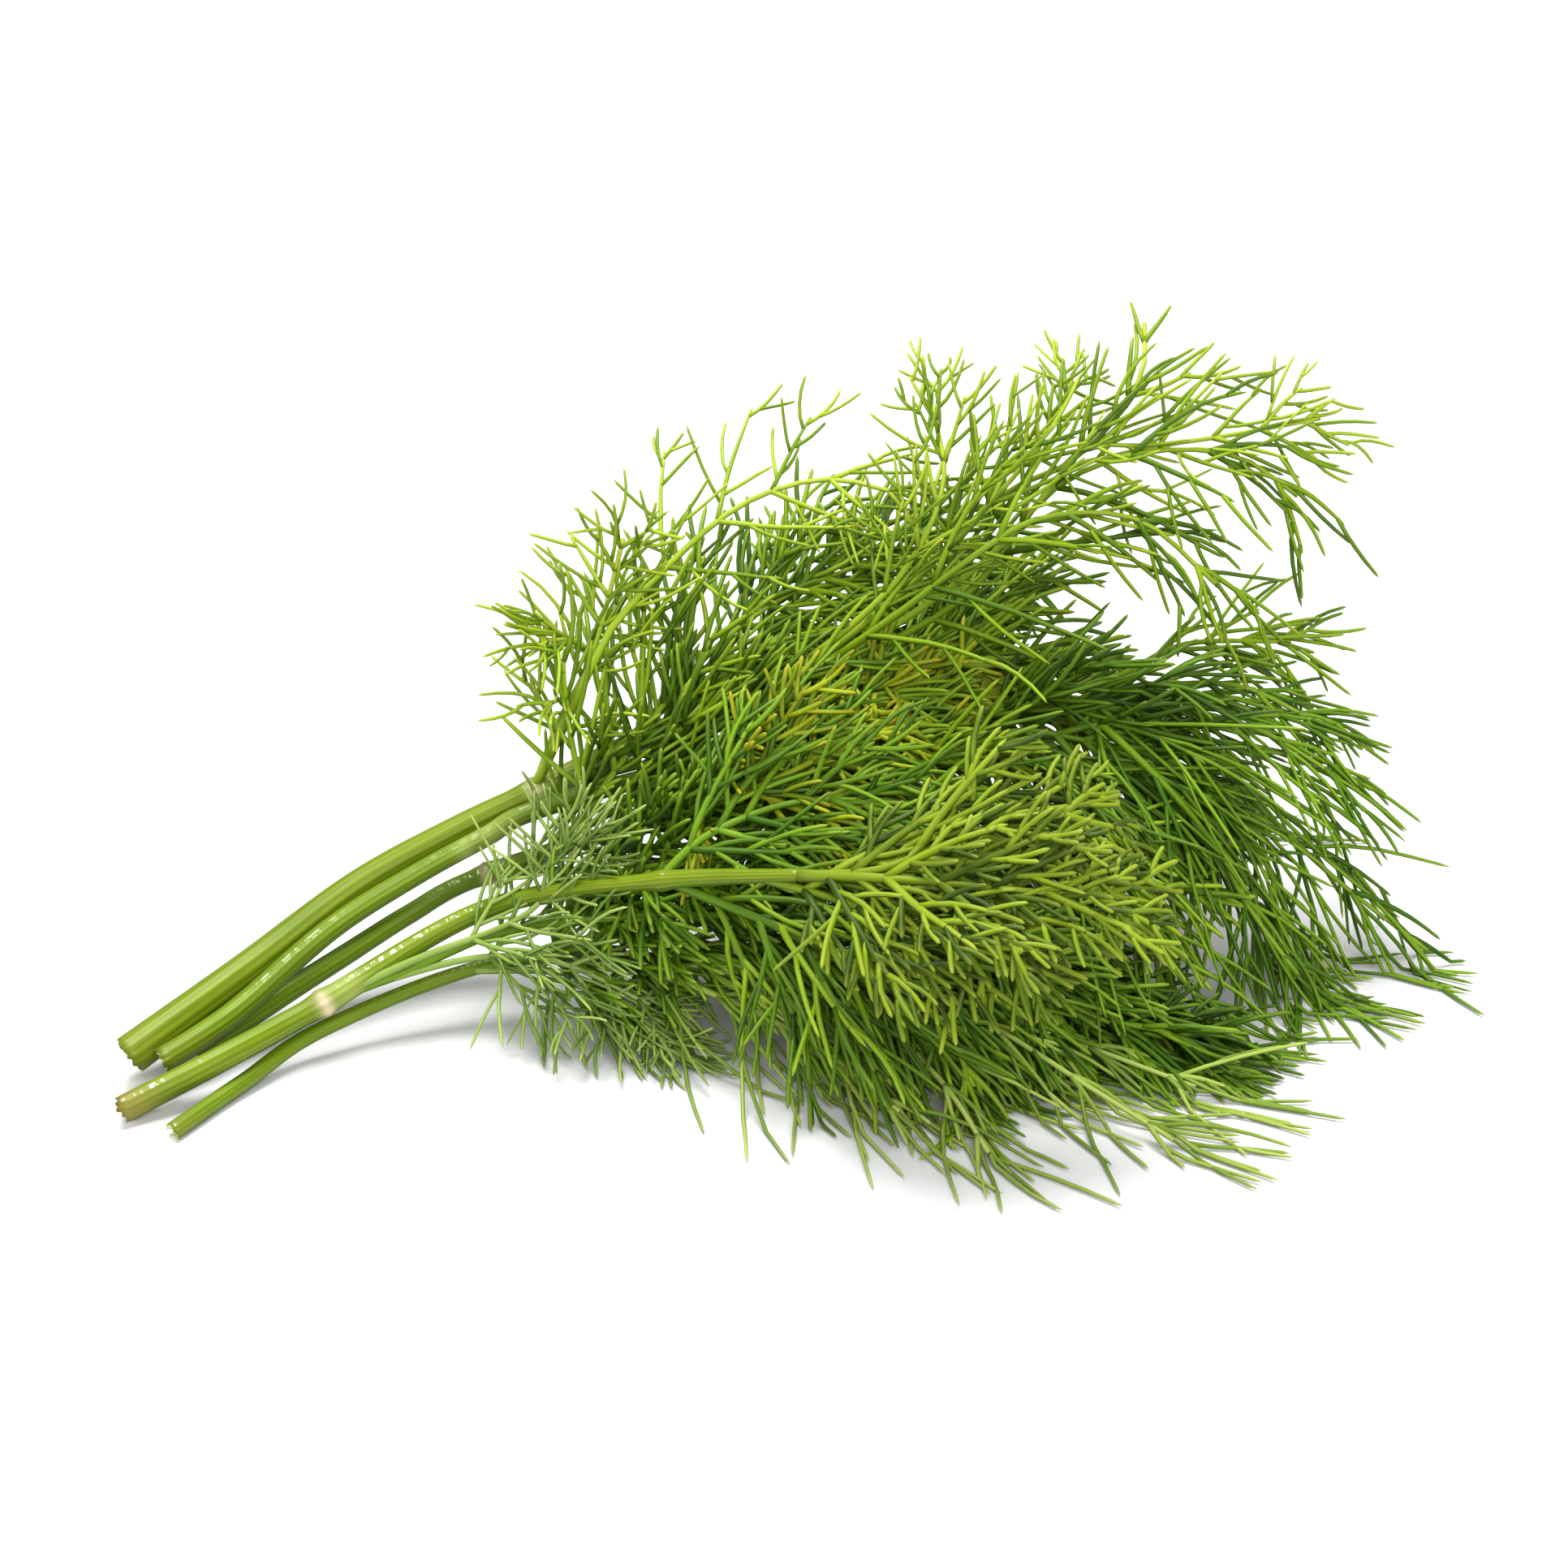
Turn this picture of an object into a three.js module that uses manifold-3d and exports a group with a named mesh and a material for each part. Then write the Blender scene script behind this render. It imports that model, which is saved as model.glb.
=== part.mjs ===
import * as THREE from "three";
import { mergeVertices } from "three/addons/utils/BufferGeometryUtils.js";
import Module from "manifold-3d";

// A bunch of fresh dill lying on a table: five leafy stems, cut at the left and fanned out to the right.
// Lengths are in millimetres. x runs along the bunch, y away from the viewer, and z up from the table.

// The middle of the bunch's outline, in the coordinates of the routes below
const bunchMiddle = { x: 6.4, y: 1.9 };

// Clear distance kept between sticks of different stems
const clearGap = 0.3;

// Lowest height of the middle of any leaf stick
const leafRest = 0.7;

// Leaf sticks have three sides, so their corners stand further out than a round needle's skin
const cornerReach = 1.25;

// The five stems: route of the middle, radius at the cut end and at the top, places of the joints
const stems = {
  upper: {
    route: [
      [-115.9, -32.2, 5.4], [-96.5, -11.2, 11.5], [-77.7, 3.5, 20.5], [-60.2, 10.8, 28],
      [-44.3, 16, 34], [-17.5, 25, 44], [5, 27.5, 50],
    ],
    cutRadius: 3.7, topRadius: 1.6, joints: [0.62], colour: 0x86a832,
  },
  twin: {
    route: [
      [-109.2, -34.8, 6.3], [-102.7, -27.6, 7.4], [-96.1, -19.8, 9.2], [-81.4, -6.3, 17.3],
      [-66.4, 2.7, 23.6], [-54, 7.4, 28.8], [-45.2, 9.7, 32.9], [-14, 21, 37.5], [5, 28, 40],
      [56, 19.5, 50],
    ],
    cutRadius: 2.4, topRadius: 1.1, joints: [0.985], colour: 0x5f8f2c,
  },
  middle: {
    route: [
      [-104.5, -24.5, 2.3], [-91.7, -11.5, 5.5], [-79.7, -1.1, 9], [-68.7, 6.7, 13],
      [-56.3, 11.6, 18], [-24.5, 13.5, 29], [-1, 20, 34],
    ],
    cutRadius: 2.3, topRadius: 1.2, joints: [0.53], colour: 0x7a9e2f,
  },
  front: {
    route: [
      [-115, -44.5, 2.3], [-99, -34.5, 6.5], [-83, -21, 9.5],
      [-53.5, -6, 21], [-22, -19.5, 34], [4.5, -34, 43],
    ],
    cutRadius: 2.5, topRadius: 1.2, joints: [0.285, 0.78], colour: 0x93b23a,
  },
  low: {
    route: [
      [-105.5, -50, 1.3], [-95, -34.5, 1.9], [-82, -21, 5],
      [-53.5, -7, 10], [-27, -9.5, 13], [-4, -17.5, 14],
    ],
    cutRadius: 1.7, topRadius: 1.0, joints: [], colour: 0x6f9a34,
  },
};

// How the leaf of a frond is divided. Angles in degrees: of the side leaflets from the midrib, and of the
// needles from a leaflet. Then the length and spacing of the needles, their thickness, and how a leaflet
// hangs and sweeps forward.
const habits = {
  lacy: {
    angle: 50, needleAngle: 36, needle: 11, spacing: 8, thick: 0.4, sag: 0.15, sweep: 0.35, droop: 0.1,
  },
  feathery: {
    angle: 42, needleAngle: 28, needle: 15, spacing: 8, thick: 0.42, sag: 0.45, sweep: 0.5, droop: 0.3,
  },
  hairy: {
    angle: 34, needleAngle: 20, needle: 21, spacing: 10, thick: 0.4, sag: 0.6, sweep: 0.6, droop: 0.4,
  },
  antler: {
    angle: 42, needleAngle: 36, needle: 11, spacing: 7, thick: 0.54, sag: 0.2, sweep: 0.3, droop: 0.15,
  },
};

// The fronds: the stem and the place along it that each grows from, its habit, the route of its midrib,
// the bare share of the midrib, the reach of its longest leaflets, their pairs, the tilt in degrees of the
// leaf's face from the viewer towards the sky, and the radius of the midrib's root. A frond inside or behind
// the bunch has only every second or third pair of its leaflets.
const fronds = [
  { stem: "upper", at: 0.62, habit: "lacy", bare: 0.5, reach: 30, pairs: 4, tilt: 38, root: 1.3,
    route: [[-39, 14, 50], [-34, 17, 60], [-28, 22, 68], [-10, 37, 80], [7, 43, 84], [23, 40, 82]] },
  { stem: "upper", at: 0.62, habit: "lacy", bare: 0.68, reach: 17, pairs: 3, tilt: 25, root: 0.8,
    route: [[-40, 15, 49], [-35, 18, 59], [-31, 24, 72], [-29, 25, 80]] },
  { stem: "upper", at: 0.62, habit: "lacy", bare: 0.62, reach: 17, pairs: 3, tilt: 38, root: 0.8,
    route: [[-41, 15, 48], [-36, 19, 57], [-37, 20, 62], [-44, 16, 64]] },
  { stem: "upper", at: 0.62, habit: "lacy", bare: 0.5, reach: 15, pairs: 2, tilt: 38, root: 0.7,
    route: [[-40, 15, 48], [-39, 17, 52], [-43, 10, 54]] },
  { stem: "upper", at: 0.985, habit: "feathery", bare: 0.25, reach: 42, pairs: 5, tilt: 42, sag: 0.8,
    route: [[32, 29, 66], [48, 36, 84], [64, 36, 92], [82, 40, 90], [94, 40, 82]] },
  { stem: "upper", at: 0.97, habit: "feathery", bare: 0.2, reach: 42, pairs: 5, tilt: 45, sag: 0.7,
    route: [[20, 22, 66], [33, 20, 78], [46, 25, 84], [64, 29, 82], [78, 23, 72]] },
  { stem: "upper", at: 0.985, habit: "feathery", bare: 0.5, reach: 26, pairs: 3, tilt: 20,
    sag: 0, sweep: 0.6, route: [[35, 30, 72], [52, 37, 90], [65, 51, 100], [67, 65, 106]] },
  { stem: "upper", at: 0.97, habit: "lacy", bare: 0.62, reach: 24, pairs: 4, tilt: 38, sag: 0.1,
    route: [[23, 32, 68], [42, 39, 84], [64, 42, 90], [82, 45, 92], [99, 53, 92]] },
  { stem: "upper", at: 0.93, habit: "lacy", bare: 0.45, reach: 24, pairs: 4, tilt: 25, angle: 38,
    route: [[14, 26, 64], [24, 28, 76], [29, 34, 88], [27, 44, 98]] },
  { stem: "upper", at: 0.95, habit: "lacy", bare: 0.5, reach: 24, pairs: 4, tilt: 25, angle: 38,
    route: [[20, 29, 66], [33, 30, 80], [45, 36, 92], [53, 51, 100]] },
  { stem: "upper", at: 0.72, habit: "feathery", bare: 0.3, reach: 30, pairs: 4, tilt: 115,
    pairStep: 2, route: [[-12, 48, 42], [2, 64, 24], [10, 72, 4]] },
  { stem: "upper", at: 0.95, habit: "feathery", bare: 0.25, reach: 32, pairs: 4, tilt: 115,
    pairStep: 2, route: [[20, 46, 50], [42, 62, 32], [56, 74, 4]] },
  { stem: "twin", at: 0.985, habit: "hairy", bare: 0.05, reach: 40, pairs: 5, tilt: 58,
    route: [[69, 19, 46], [84, 15, 34], [101, 12, 18], [119, 9, 4]] },
  { stem: "twin", at: 0.985, habit: "hairy", bare: 0.45, reach: 18, pairs: 3, tilt: 50, sag: 0.2,
    needle: 15, route: [[64, 25, 54], [75, 32, 56], [94, 37, 54]] },
  { stem: "twin", at: 0.985, habit: "hairy", bare: 0.3, reach: 22, pairs: 3, tilt: 50, sag: 0.3,
    needle: 16, route: [[69, 22, 52], [84, 26, 50], [98, 23, 44]] },
  { stem: "twin", at: 0.985, habit: "hairy", bare: 0.3, reach: 26, pairs: 3, tilt: 58, sag: 0.3,
    needle: 17, route: [[69, 22, 48], [87, 20, 44], [102, 16, 36]] },
  { stem: "twin", at: 0.985, habit: "hairy", bare: 0.1, reach: 30, pairs: 4, tilt: 58,
    route: [[64, 20, 44], [74, 15, 30], [85, 13, 14], [97, 2, 3]] },
  { stem: "twin", at: 0.78, habit: "feathery", bare: 0.1, reach: 36, pairs: 4, tilt: 50,
    route: [[20, 33, 46], [40, 34, 49], [59, 34, 44]] },
  { stem: "twin", at: 0.85, habit: "hairy", bare: 0.2, reach: 28, pairs: 4, tilt: 115,
    pairStep: 2, route: [[60, 42, 36], [80, 56, 18], [92, 64, 3]] },
  { stem: "middle", at: 0.62, habit: "feathery", bare: 0.2, reach: 36, pairs: 5, tilt: 38, sag: 0.3,
    route: [[-40, 4, 28], [-30, 9, 42], [-16, 24, 55], [-1, 38, 62], [17, 52, 64]] },
  { stem: "middle", at: 0.75, habit: "feathery", bare: 0.15, reach: 36, pairs: 5, tilt: 45,
    route: [[-16, 12, 42], [-1, 17, 46], [17, 24, 51], [35, 31, 54]] },
  { stem: "middle", at: 0.985, habit: "antler", bare: 0.05, reach: 28, pairs: 4, tilt: 45, thick: 0.55,
    route: [[11, 21, 42], [23, 23, 46], [32, 29, 48]] },
  { stem: "middle", at: 0.985, habit: "feathery", bare: 0.05, reach: 34, pairs: 4, tilt: 52,
    route: [[20, 9, 37], [44, 0, 34], [68, -9, 24]] },
  { stem: "middle", at: 0.6, habit: "feathery", bare: 0.1, reach: 30, pairs: 4, tilt: 38, sag: 0.2,
    route: [[-31, 9, 33], [-17, 11, 40], [2, 16, 42], [20, 20, 44]] },
  { stem: "front", at: 0.985, habit: "antler", bare: 0.1, reach: 32, pairs: 5, tilt: 43, root: 1.3,
    route: [[18, -41, 46], [41, -49, 48], [56, -48, 46]] },
  { stem: "front", at: 0.985, habit: "antler", bare: 0.2, reach: 26, pairs: 4, tilt: 43,
    route: [[17, -39, 47], [32, -35, 52], [51, -28, 52]] },
  { stem: "front", at: 0.92, habit: "antler", bare: 0.2, reach: 26, pairs: 4, tilt: 43,
    route: [[10, -38, 40], [25, -46, 38], [41, -46, 32]] },
  { stem: "front", at: 0.78, habit: "feathery", bare: 0.15, reach: 30, pairs: 4, tilt: 38, sag: 0.2,
    route: [[-13, -15, 41], [4, -10, 45], [26, -12, 45]] },
  { stem: "front", at: 0.79, habit: "feathery", bare: 0.15, reach: 32, pairs: 5, tilt: 45,
    route: [[-9, -26, 32], [8, -33, 28], [26, -35, 16], [33, -43, 6]] },
  { stem: "front", at: 0.29, habit: "lacy", bare: 0.5, reach: 20, pairs: 4, tilt: 38, sag: 0, root: 1.2,
    route: [[-66, -14, 15], [-47, -11, 22], [-39, -7, 30], [-36, -6, 36]] },
  { stem: "front", at: 0.29, habit: "lacy", bare: 0.5, reach: 22, pairs: 4, tilt: 45, sag: 0.4,
    route: [[-68, -14, 12], [-53, -11, 14], [-39, -14, 14], [-24, -18, 8]] },
  { stem: "front", at: 0.29, habit: "feathery", bare: 0.5, reach: 36, pairs: 5, tilt: 52, root: 1.3,
    route: [[-66, -13, 13], [-48, -8, 18], [-10, -14, 24], [26, -21, 21], [62, -28, 8]] },
  { stem: "low", at: 0.985, habit: "hairy", bare: 0.05, reach: 28, pairs: 4, tilt: 45,
    route: [[13, -25, 12], [27, -42, 7], [35, -58, 2]] },
  { stem: "low", at: 0.9, habit: "hairy", bare: 0.2, reach: 28, pairs: 4, tilt: 52,
    route: [[12, -20, 17], [33, -30, 13], [53, -43, 6], [67, -54, 2]] },
  { stem: "low", at: 0.95, habit: "hairy", bare: 0.2, reach: 28, pairs: 4, tilt: 60,
    route: [[19, -20, 15], [45, -28, 9], [72, -38, 3]] },
  { stem: "low", at: 0.75, habit: "hairy", bare: 0.15, reach: 26, pairs: 4, tilt: 52,
    route: [[-12, -16, 13], [-1, -24, 8], [11, -35, 3]] },
  { stem: "low", at: 0.55, habit: "lacy", bare: 0.3, reach: 16, pairs: 3, tilt: 52,
    route: [[-39, -12, 11], [-30, -17, 7], [-20, -24, 3]] },
  { stem: "upper", at: 0.8, habit: "feathery", bare: 0.2, reach: 32, pairs: 4, tilt: 45, sag: 0.3,
    pairStep: 2, route: [[-10, 32, 50], [5, 44, 56], [24, 57, 60], [41, 65, 60]] },
  { stem: "twin", at: 0.72, habit: "hairy", bare: 0.2, reach: 30, pairs: 4, tilt: 50,
    pairStep: 2, route: [[36, 10, 42], [50, -6, 38], [64, -16, 22], [77, -20, 6]] },
  { stem: "twin", at: 0.85, habit: "feathery", bare: 0.15, reach: 32, pairs: 4, tilt: 45,
    pairStep: 2, route: [[34, 19, 44], [47, 13, 47], [63, 11, 43], [74, 7, 35]] },
  { stem: "twin", at: 0.985, habit: "hairy", bare: 0.1, reach: 30, pairs: 4, tilt: 55,
    pairStep: 2, route: [[63, 6, 46], [75, 1, 34], [84, -4, 20], [93, -7, 8]] },
  { stem: "middle", at: 0.985, habit: "feathery", bare: 0.1, reach: 34, pairs: 4, tilt: 50,
    pairStep: 3, route: [[23, 3, 36], [42, -15, 26], [61, -19, 10], [74, -24, 3]] },
  { stem: "middle", at: 0.7, habit: "feathery", bare: 0.15, reach: 32, pairs: 4, tilt: 42, sag: 0.3,
    pairStep: 3, route: [[-17, 12, 38], [-2, 21, 43], [14, 26, 47], [32, 38, 54]] },
  { stem: "middle", at: 0.85, habit: "antler", bare: 0.2, reach: 24, pairs: 4, tilt: 42, thick: 0.5,
    pairStep: 3, route: [[-10, -4, 42], [2, -4, 48], [14, 5, 50], [23, 19, 48]] },
  { stem: "middle", at: 0.53, habit: "lacy", bare: 0.3, reach: 26, pairs: 4, tilt: 38,
    pairStep: 3, route: [[-41, 7, 22], [-26, -4, 28], [-10, -4, 34], [6, 2, 38]] },
  { stem: "front", at: 0.79, habit: "feathery", bare: 0.2, reach: 34, pairs: 5, tilt: 50,
    pairStep: 3, route: [[-5, -29, 32], [13, -31, 24], [41, -26, 14], [67, -26, 6]] },
  { stem: "low", at: 0.75, habit: "hairy", bare: 0.15, reach: 28, pairs: 4, tilt: 52,
    pairStep: 2, route: [[-10, -23, 12], [6, -33, 8], [20, -48, 4]] },
  { stem: "low", at: 0.55, habit: "lacy", bare: 0.25, reach: 22, pairs: 3, tilt: 45,
    pairStep: 2, route: [[-33, -10, 16], [-18, -9, 20], [2, -11, 22]] },
];

// How far leaflets and needles stray from the rule of their frond: the leaf's face, the angle and the lift
// in radians, the length as a share, and the sway of each step
const leafletStray = { face: 0.25, angle: 0.12, lift: 0.4, length: 0.16, sway: 0.06 };
const needleStray = { face: 0.45, angle: 0.3, lift: 0.5, length: 0.25, sway: 0.09 };

// Leaflets rise a little out of the leaf's face, lean forward towards the frond's tip and shorten to it
const leafletLift = 0.15;
const tipLean = 0.3;
const tipSize = 0.45;

// Needles bend this far towards the heading of their leaflet
const needlePull = 0.5;

// A joint's raised ring and the sheath above it: rise in millimetres, length as a share of the stem
const jointRing = { rise: 0.35, length: 0.015 };
const sheath = { rise: 0.3, length: 0.14 };

const wasm = await Module();
wasm.setup();

// Seeded draw, so that the bunch grows the same every time
class Draw {
  constructor(seed) {
    this.state = seed % 4294967296;
  }
  next() {
    this.state = (this.state * 1664525 + 1013904223) % 4294967296;
    return this.state / 4294967296;
  }
  spread(amount) {
    return (2 * this.next() - 1) * amount;
  }
  vector(amount) {
    return new THREE.Vector3(this.spread(amount), this.spread(amount), this.spread(amount));
  }
}

const toVectors = (route) => route.map((point) => new THREE.Vector3(...point));
const radians = THREE.MathUtils.degToRad;
const mix = THREE.MathUtils.lerp;

// Points spaced evenly along the smooth curve through a route
function smoothLine(points, steps) {
  return new THREE.CatmullRomCurve3(points, false, "catmullrom").getSpacedPoints(steps);
}

// Step of a line in which a share of its length ends, and how far into that step
function placeOn(line, share) {
  const lengths = line.slice(1).map((point, i) => point.distanceTo(line[i]));
  let rest = share * lengths.reduce((sum, length) => sum + length, 0);
  let step = 0;
  while (step < lengths.length - 1 && rest > lengths[step]) {
    rest -= lengths[step];
    step += 1;
  }
  return { step, part: Math.min(rest / lengths[step], 1) };
}

// Point and direction of a line at a share of its length
function pointOn(line, share) {
  const { step, part } = placeOn(line, share);
  return line[step].clone().lerp(line[step + 1], part);
}
function headingOn(line, share) {
  const { step } = placeOn(line, share);
  return line[step + 1].clone().sub(line[step]).normalize();
}

// The two directions across a shoot: sideways in the leaf's face, and out of the face
function acrossOf(heading, face) {
  const out = face.clone().addScaledVector(heading, -face.dot(heading)).normalize();
  return { side: heading.clone().cross(out), out };
}

// Closed solid of a mesh's corners and triangles
function solidFrom(positions, index) {
  const vertProperties = new Float32Array(positions);
  const triVerts = new Uint32Array(index);
  return new wasm.Manifold(new wasm.Mesh({ numProp: 3, vertProperties, triVerts }));
}

// Closed solid of a stick with a radius at each of its points. A first or last radius of 0 makes that end a
// point, which sinks a shoot's root into its parent and draws out its tip.
function stick(points, radii, sides) {
  const last = points.length - 1;
  const positions = [];
  const index = [];
  const rings = [];
  let out = new THREE.Vector3(0.1, 0, -1);
  points.forEach((point, i) => {
    const heading = points[Math.min(i + 1, last)].clone().sub(points[Math.max(i - 1, 0)]).normalize();
    const across = acrossOf(heading, out);
    out = across.out;
    const corners = radii[i] === 0 ? 1 : sides;
    const first = positions.length / 3;
    for (let k = 0; k < corners; k += 1) {
      const angle = ((k + 0.5) / sides) * 2 * Math.PI;
      const corner = point.clone().addScaledVector(out, Math.cos(angle) * radii[i]);
      corner.addScaledVector(across.side, Math.sin(angle) * radii[i]);
      positions.push(corner.x, corner.y, corner.z);
    }
    rings.push(Array.from({ length: sides }, (_, k) => first + (k % corners)));
  });
  for (let i = 0; i < last; i += 1) {
    for (let k = 0; k < sides; k += 1) {
      const next = (k + 1) % sides;
      if (radii[i] > 0) index.push(rings[i][k], rings[i][next], rings[i + 1][next]);
      if (radii[i + 1] > 0) index.push(rings[i][k], rings[i + 1][next], rings[i + 1][k]);
    }
  }
  for (let k = 1; k + 1 < sides; k += 1) {
    if (radii[0] > 0) index.push(rings[0][0], rings[0][k + 1], rings[0][k]);
    if (radii[last] > 0) index.push(rings[last][0], rings[last][k], rings[last][k + 1]);
  }
  return solidFrom(positions, index);
}

// Closed solid of a plain geometry
function solidOf(geometry) {
  geometry.deleteAttribute("normal");
  geometry.deleteAttribute("uv");
  const merged = mergeVertices(geometry);
  return solidFrom(merged.attributes.position.array, merged.index.array);
}

// Nearest distance between the straight pieces ab and cd
function distanceBetween(a, b, c, d) {
  const along = b.clone().sub(a);
  const other = d.clone().sub(c);
  const offset = a.clone().sub(c);
  const aa = along.dot(along);
  const bb = other.dot(other);
  const ab = along.dot(other);
  const ao = along.dot(offset);
  const bo = other.dot(offset);
  const spread = aa * bb - ab * ab;
  let s = spread > 1e-9 ? THREE.MathUtils.clamp((ab * bo - bb * ao) / spread, 0, 1) : 0;
  const t = THREE.MathUtils.clamp((ab * s + bo) / bb, 0, 1);
  s = THREE.MathUtils.clamp((ab * t - ao) / aa, 0, 1);
  return offset.addScaledVector(along, s).addScaledVector(other, -t).length();
}

// Every straight piece that stands so far
const standing = [];
function stand(stem, points, radii) {
  for (let i = 0; i + 1 < points.length; i += 1) {
    const radius = Math.max(radii[i], radii[i + 1]);
    const middle = points[i].clone().lerp(points[i + 1], 0.5);
    standing.push({ stem, from: points[i], to: points[i + 1], radius, middle,
      bound: middle.distanceTo(points[i]) + radius });
  }
}

// Whether a new stick keeps clear of the pieces of other stems and, past its root, of its own stem's too
const rootShare = 0.15;
function isClear(stem, points, radii, ownToo) {
  for (let i = 0; i + 1 < points.length; i += 1) {
    const radius = Math.max(radii[i], radii[i + 1]);
    const middle = points[i].clone().lerp(points[i + 1], 0.5);
    const bound = middle.distanceTo(points[i]) + radius + clearGap;
    const pastRoot = i === 1 ? points[1].clone().lerp(points[2], rootShare) : points[i];
    for (const piece of standing) {
      if (piece.middle.distanceTo(middle) > bound + piece.bound) continue;
      const own = piece.stem === stem;
      if (own && (!ownToo || i === 0)) continue;
      const distance = distanceBetween(own ? pastRoot : points[i], points[i + 1], piece.from, piece.to);
      if (distance < radius + piece.radius + (own ? 0 : clearGap)) return false;
    }
  }
  return true;
}

// A shoot of straight steps that bends along its pull and down, and lies on the table where it meets it
function grow(start, heading, length, pull, sag, wander) {
  const steps = wander.length;
  const points = [start];
  const direction = heading.clone();
  for (const sway of wander) {
    direction.addScaledVector(pull, 1 / steps).add(sway);
    direction.z -= sag / steps;
    direction.normalize();
    const point = points.at(-1).clone().addScaledVector(direction, length / steps);
    if (point.z < leafRest) {
      point.z = leafRest;
      direction.z = Math.max(direction.z, 0.02);
      direction.normalize();
    }
    points.push(point);
  }
  return points;
}

// The shoot at its own angle or, where it crosses another leaf there, turned round its parent until it is
// clear. A leaflet that finds no such place may cross its own stem's leaves, which it is joined to, and a
// needle is left out there.
const turnsTried = [0, 20, -20, 40, -40, 65, -65, 95, -95, 130, -130];
function growClear({ stem, start, heading, length, pull, sag, wander, parent, radii, kept, mayCrossOwn }) {
  for (const ownToo of mayCrossOwn ? [true, false] : [true]) {
    for (const turn of turnsTried) {
      const turned = heading.clone().applyAxisAngle(parent, radians(turn));
      const shoot = grow(start, turned, length, pull, sag, wander);
      const points = kept.map((step) => shoot[step]);
      if (isClear(stem, points, radii, ownToo)) {
        stand(stem, points, radii);
        return points;
      }
    }
  }
  return null;
}

// Radius of a stem along its length: it tapers, with a ring at each joint and a leaf sheath above it
function stemRadius({ cutRadius, topRadius, joints }, share) {
  let radius = mix(cutRadius, topRadius, share);
  for (const joint of joints) {
    const above = share - joint;
    radius += jointRing.rise * Math.exp(-((above / jointRing.length) ** 2));
    if (above > 0 && above < sheath.length) radius += sheath.rise * (1 - above / sheath.length);
  }
  return radius;
}

// How finely stems, midribs, leaflets and needles are faceted, and which needles stand in the solids
const stemSides = 8;
const stemRings = 10;
const jointStep = 0.022;
const midribSides = 3;
const midribSteps = 5;
const midribTip = 0.55;
const leafSides = 3;
const pinnaSteps = 6;
const needleSteps = 4;
const needleEvery = 5;

const stemLines = {};
const solids = {};
for (const [name, stem] of Object.entries(stems)) {
  stemLines[name] = smoothLine(toVectors(stem.route), 40);
  const shares = Array.from({ length: stemRings + 1 }, (_, i) => i / stemRings);
  const nearJoint = (share) => stem.joints.some((joint) => Math.abs(share - joint) < 1.5 * jointStep);
  const rings = shares.filter((share) => share === 0 || share === 1 || !nearJoint(share));
  for (const joint of stem.joints) rings.push(joint - jointStep, joint);
  rings.sort((a, b) => a - b);
  const points = rings.map((share) => pointOn(stemLines[name], share));
  const radii = rings.map((share) => stemRadius(stem, share));
  stand(name, points, radii);
  solids[name] = [stick(points, radii, stemSides)];
}

// Midribs come first, so that every leaflet of any frond keeps clear of them
fronds.forEach((frond, number) => {
  Object.assign(frond, { root: 1.1, pairStep: 1, ...habits[frond.habit], ...frond, seed: number + 1 });
  const root = pointOn(stemLines[frond.stem], frond.at);
  frond.line = smoothLine([root, ...toVectors(frond.route)], midribSteps);
  const radii = frond.line.map((_, i) => mix(frond.root, midribTip, i / midribSteps));
  frond.line.forEach((point, i) => {
    point.z = Math.max(point.z, radii[i]);
  });
  stand(frond.stem, frond.line, radii);
  solids[frond.stem].push(stick(frond.line, radii, midribSides));
});

// Then the leaflets, in pairs along each midrib
for (const frond of fronds) {
  const draw = new Draw(frond.seed * 7919 + 17);
  const tilt = radians(frond.tilt);
  const face = new THREE.Vector3(0, -Math.cos(tilt), Math.sin(tilt));
  frond.leaflets = [];
  for (let pair = 0; pair <= frond.pairs; pair += 1) {
    const leafShare = (pair / (frond.pairs + 0.35)) ** 0.92;
    const share = mix(frond.bare, 1, leafShare);
    const parent = headingOn(frond.line, share);
    const start = pointOn(frond.line, share);
    const { side, out } = acrossOf(parent, face.clone().add(draw.vector(leafletStray.face)).normalize());
    const swell = 0.78 + 0.22 * Math.sin(Math.PI * Math.min(1, leafShare * 1.7));
    const size = mix(1, tipSize, leafShare) * swell;
    for (const hand of [-1, 1]) {
      const angle = radians(frond.angle) * (1 - tipLean * leafShare) + draw.spread(leafletStray.angle);
      const lift = leafletLift + draw.spread(leafletStray.lift);
      const length = frond.reach * size * (1 + draw.spread(leafletStray.length));
      const heading = parent.clone().multiplyScalar(Math.cos(angle));
      heading.addScaledVector(side, hand * Math.cos(lift) * Math.sin(angle));
      heading.addScaledVector(out, Math.sin(lift) * Math.sin(angle));
      const wander = Array.from({ length: pinnaSteps }, () => draw.vector(leafletStray.sway));
      const pull = parent.clone().multiplyScalar(frond.sweep);
      const radii = [0, 1.2, 0].map((share) => share * frond.thick * cornerReach);
      const leaflet = pair % frond.pairStep === 0 && growClear({
        stem: frond.stem, start, heading, length, pull, sag: frond.sag, wander, parent, radii,
        kept: [0, 2, 6], mayCrossOwn: true,
      });
      frond.leaflets.push({ leaflet, out, length });
      if (leaflet) solids[frond.stem].push(stick(leaflet, radii, leafSides));
    }
  }
}

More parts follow.
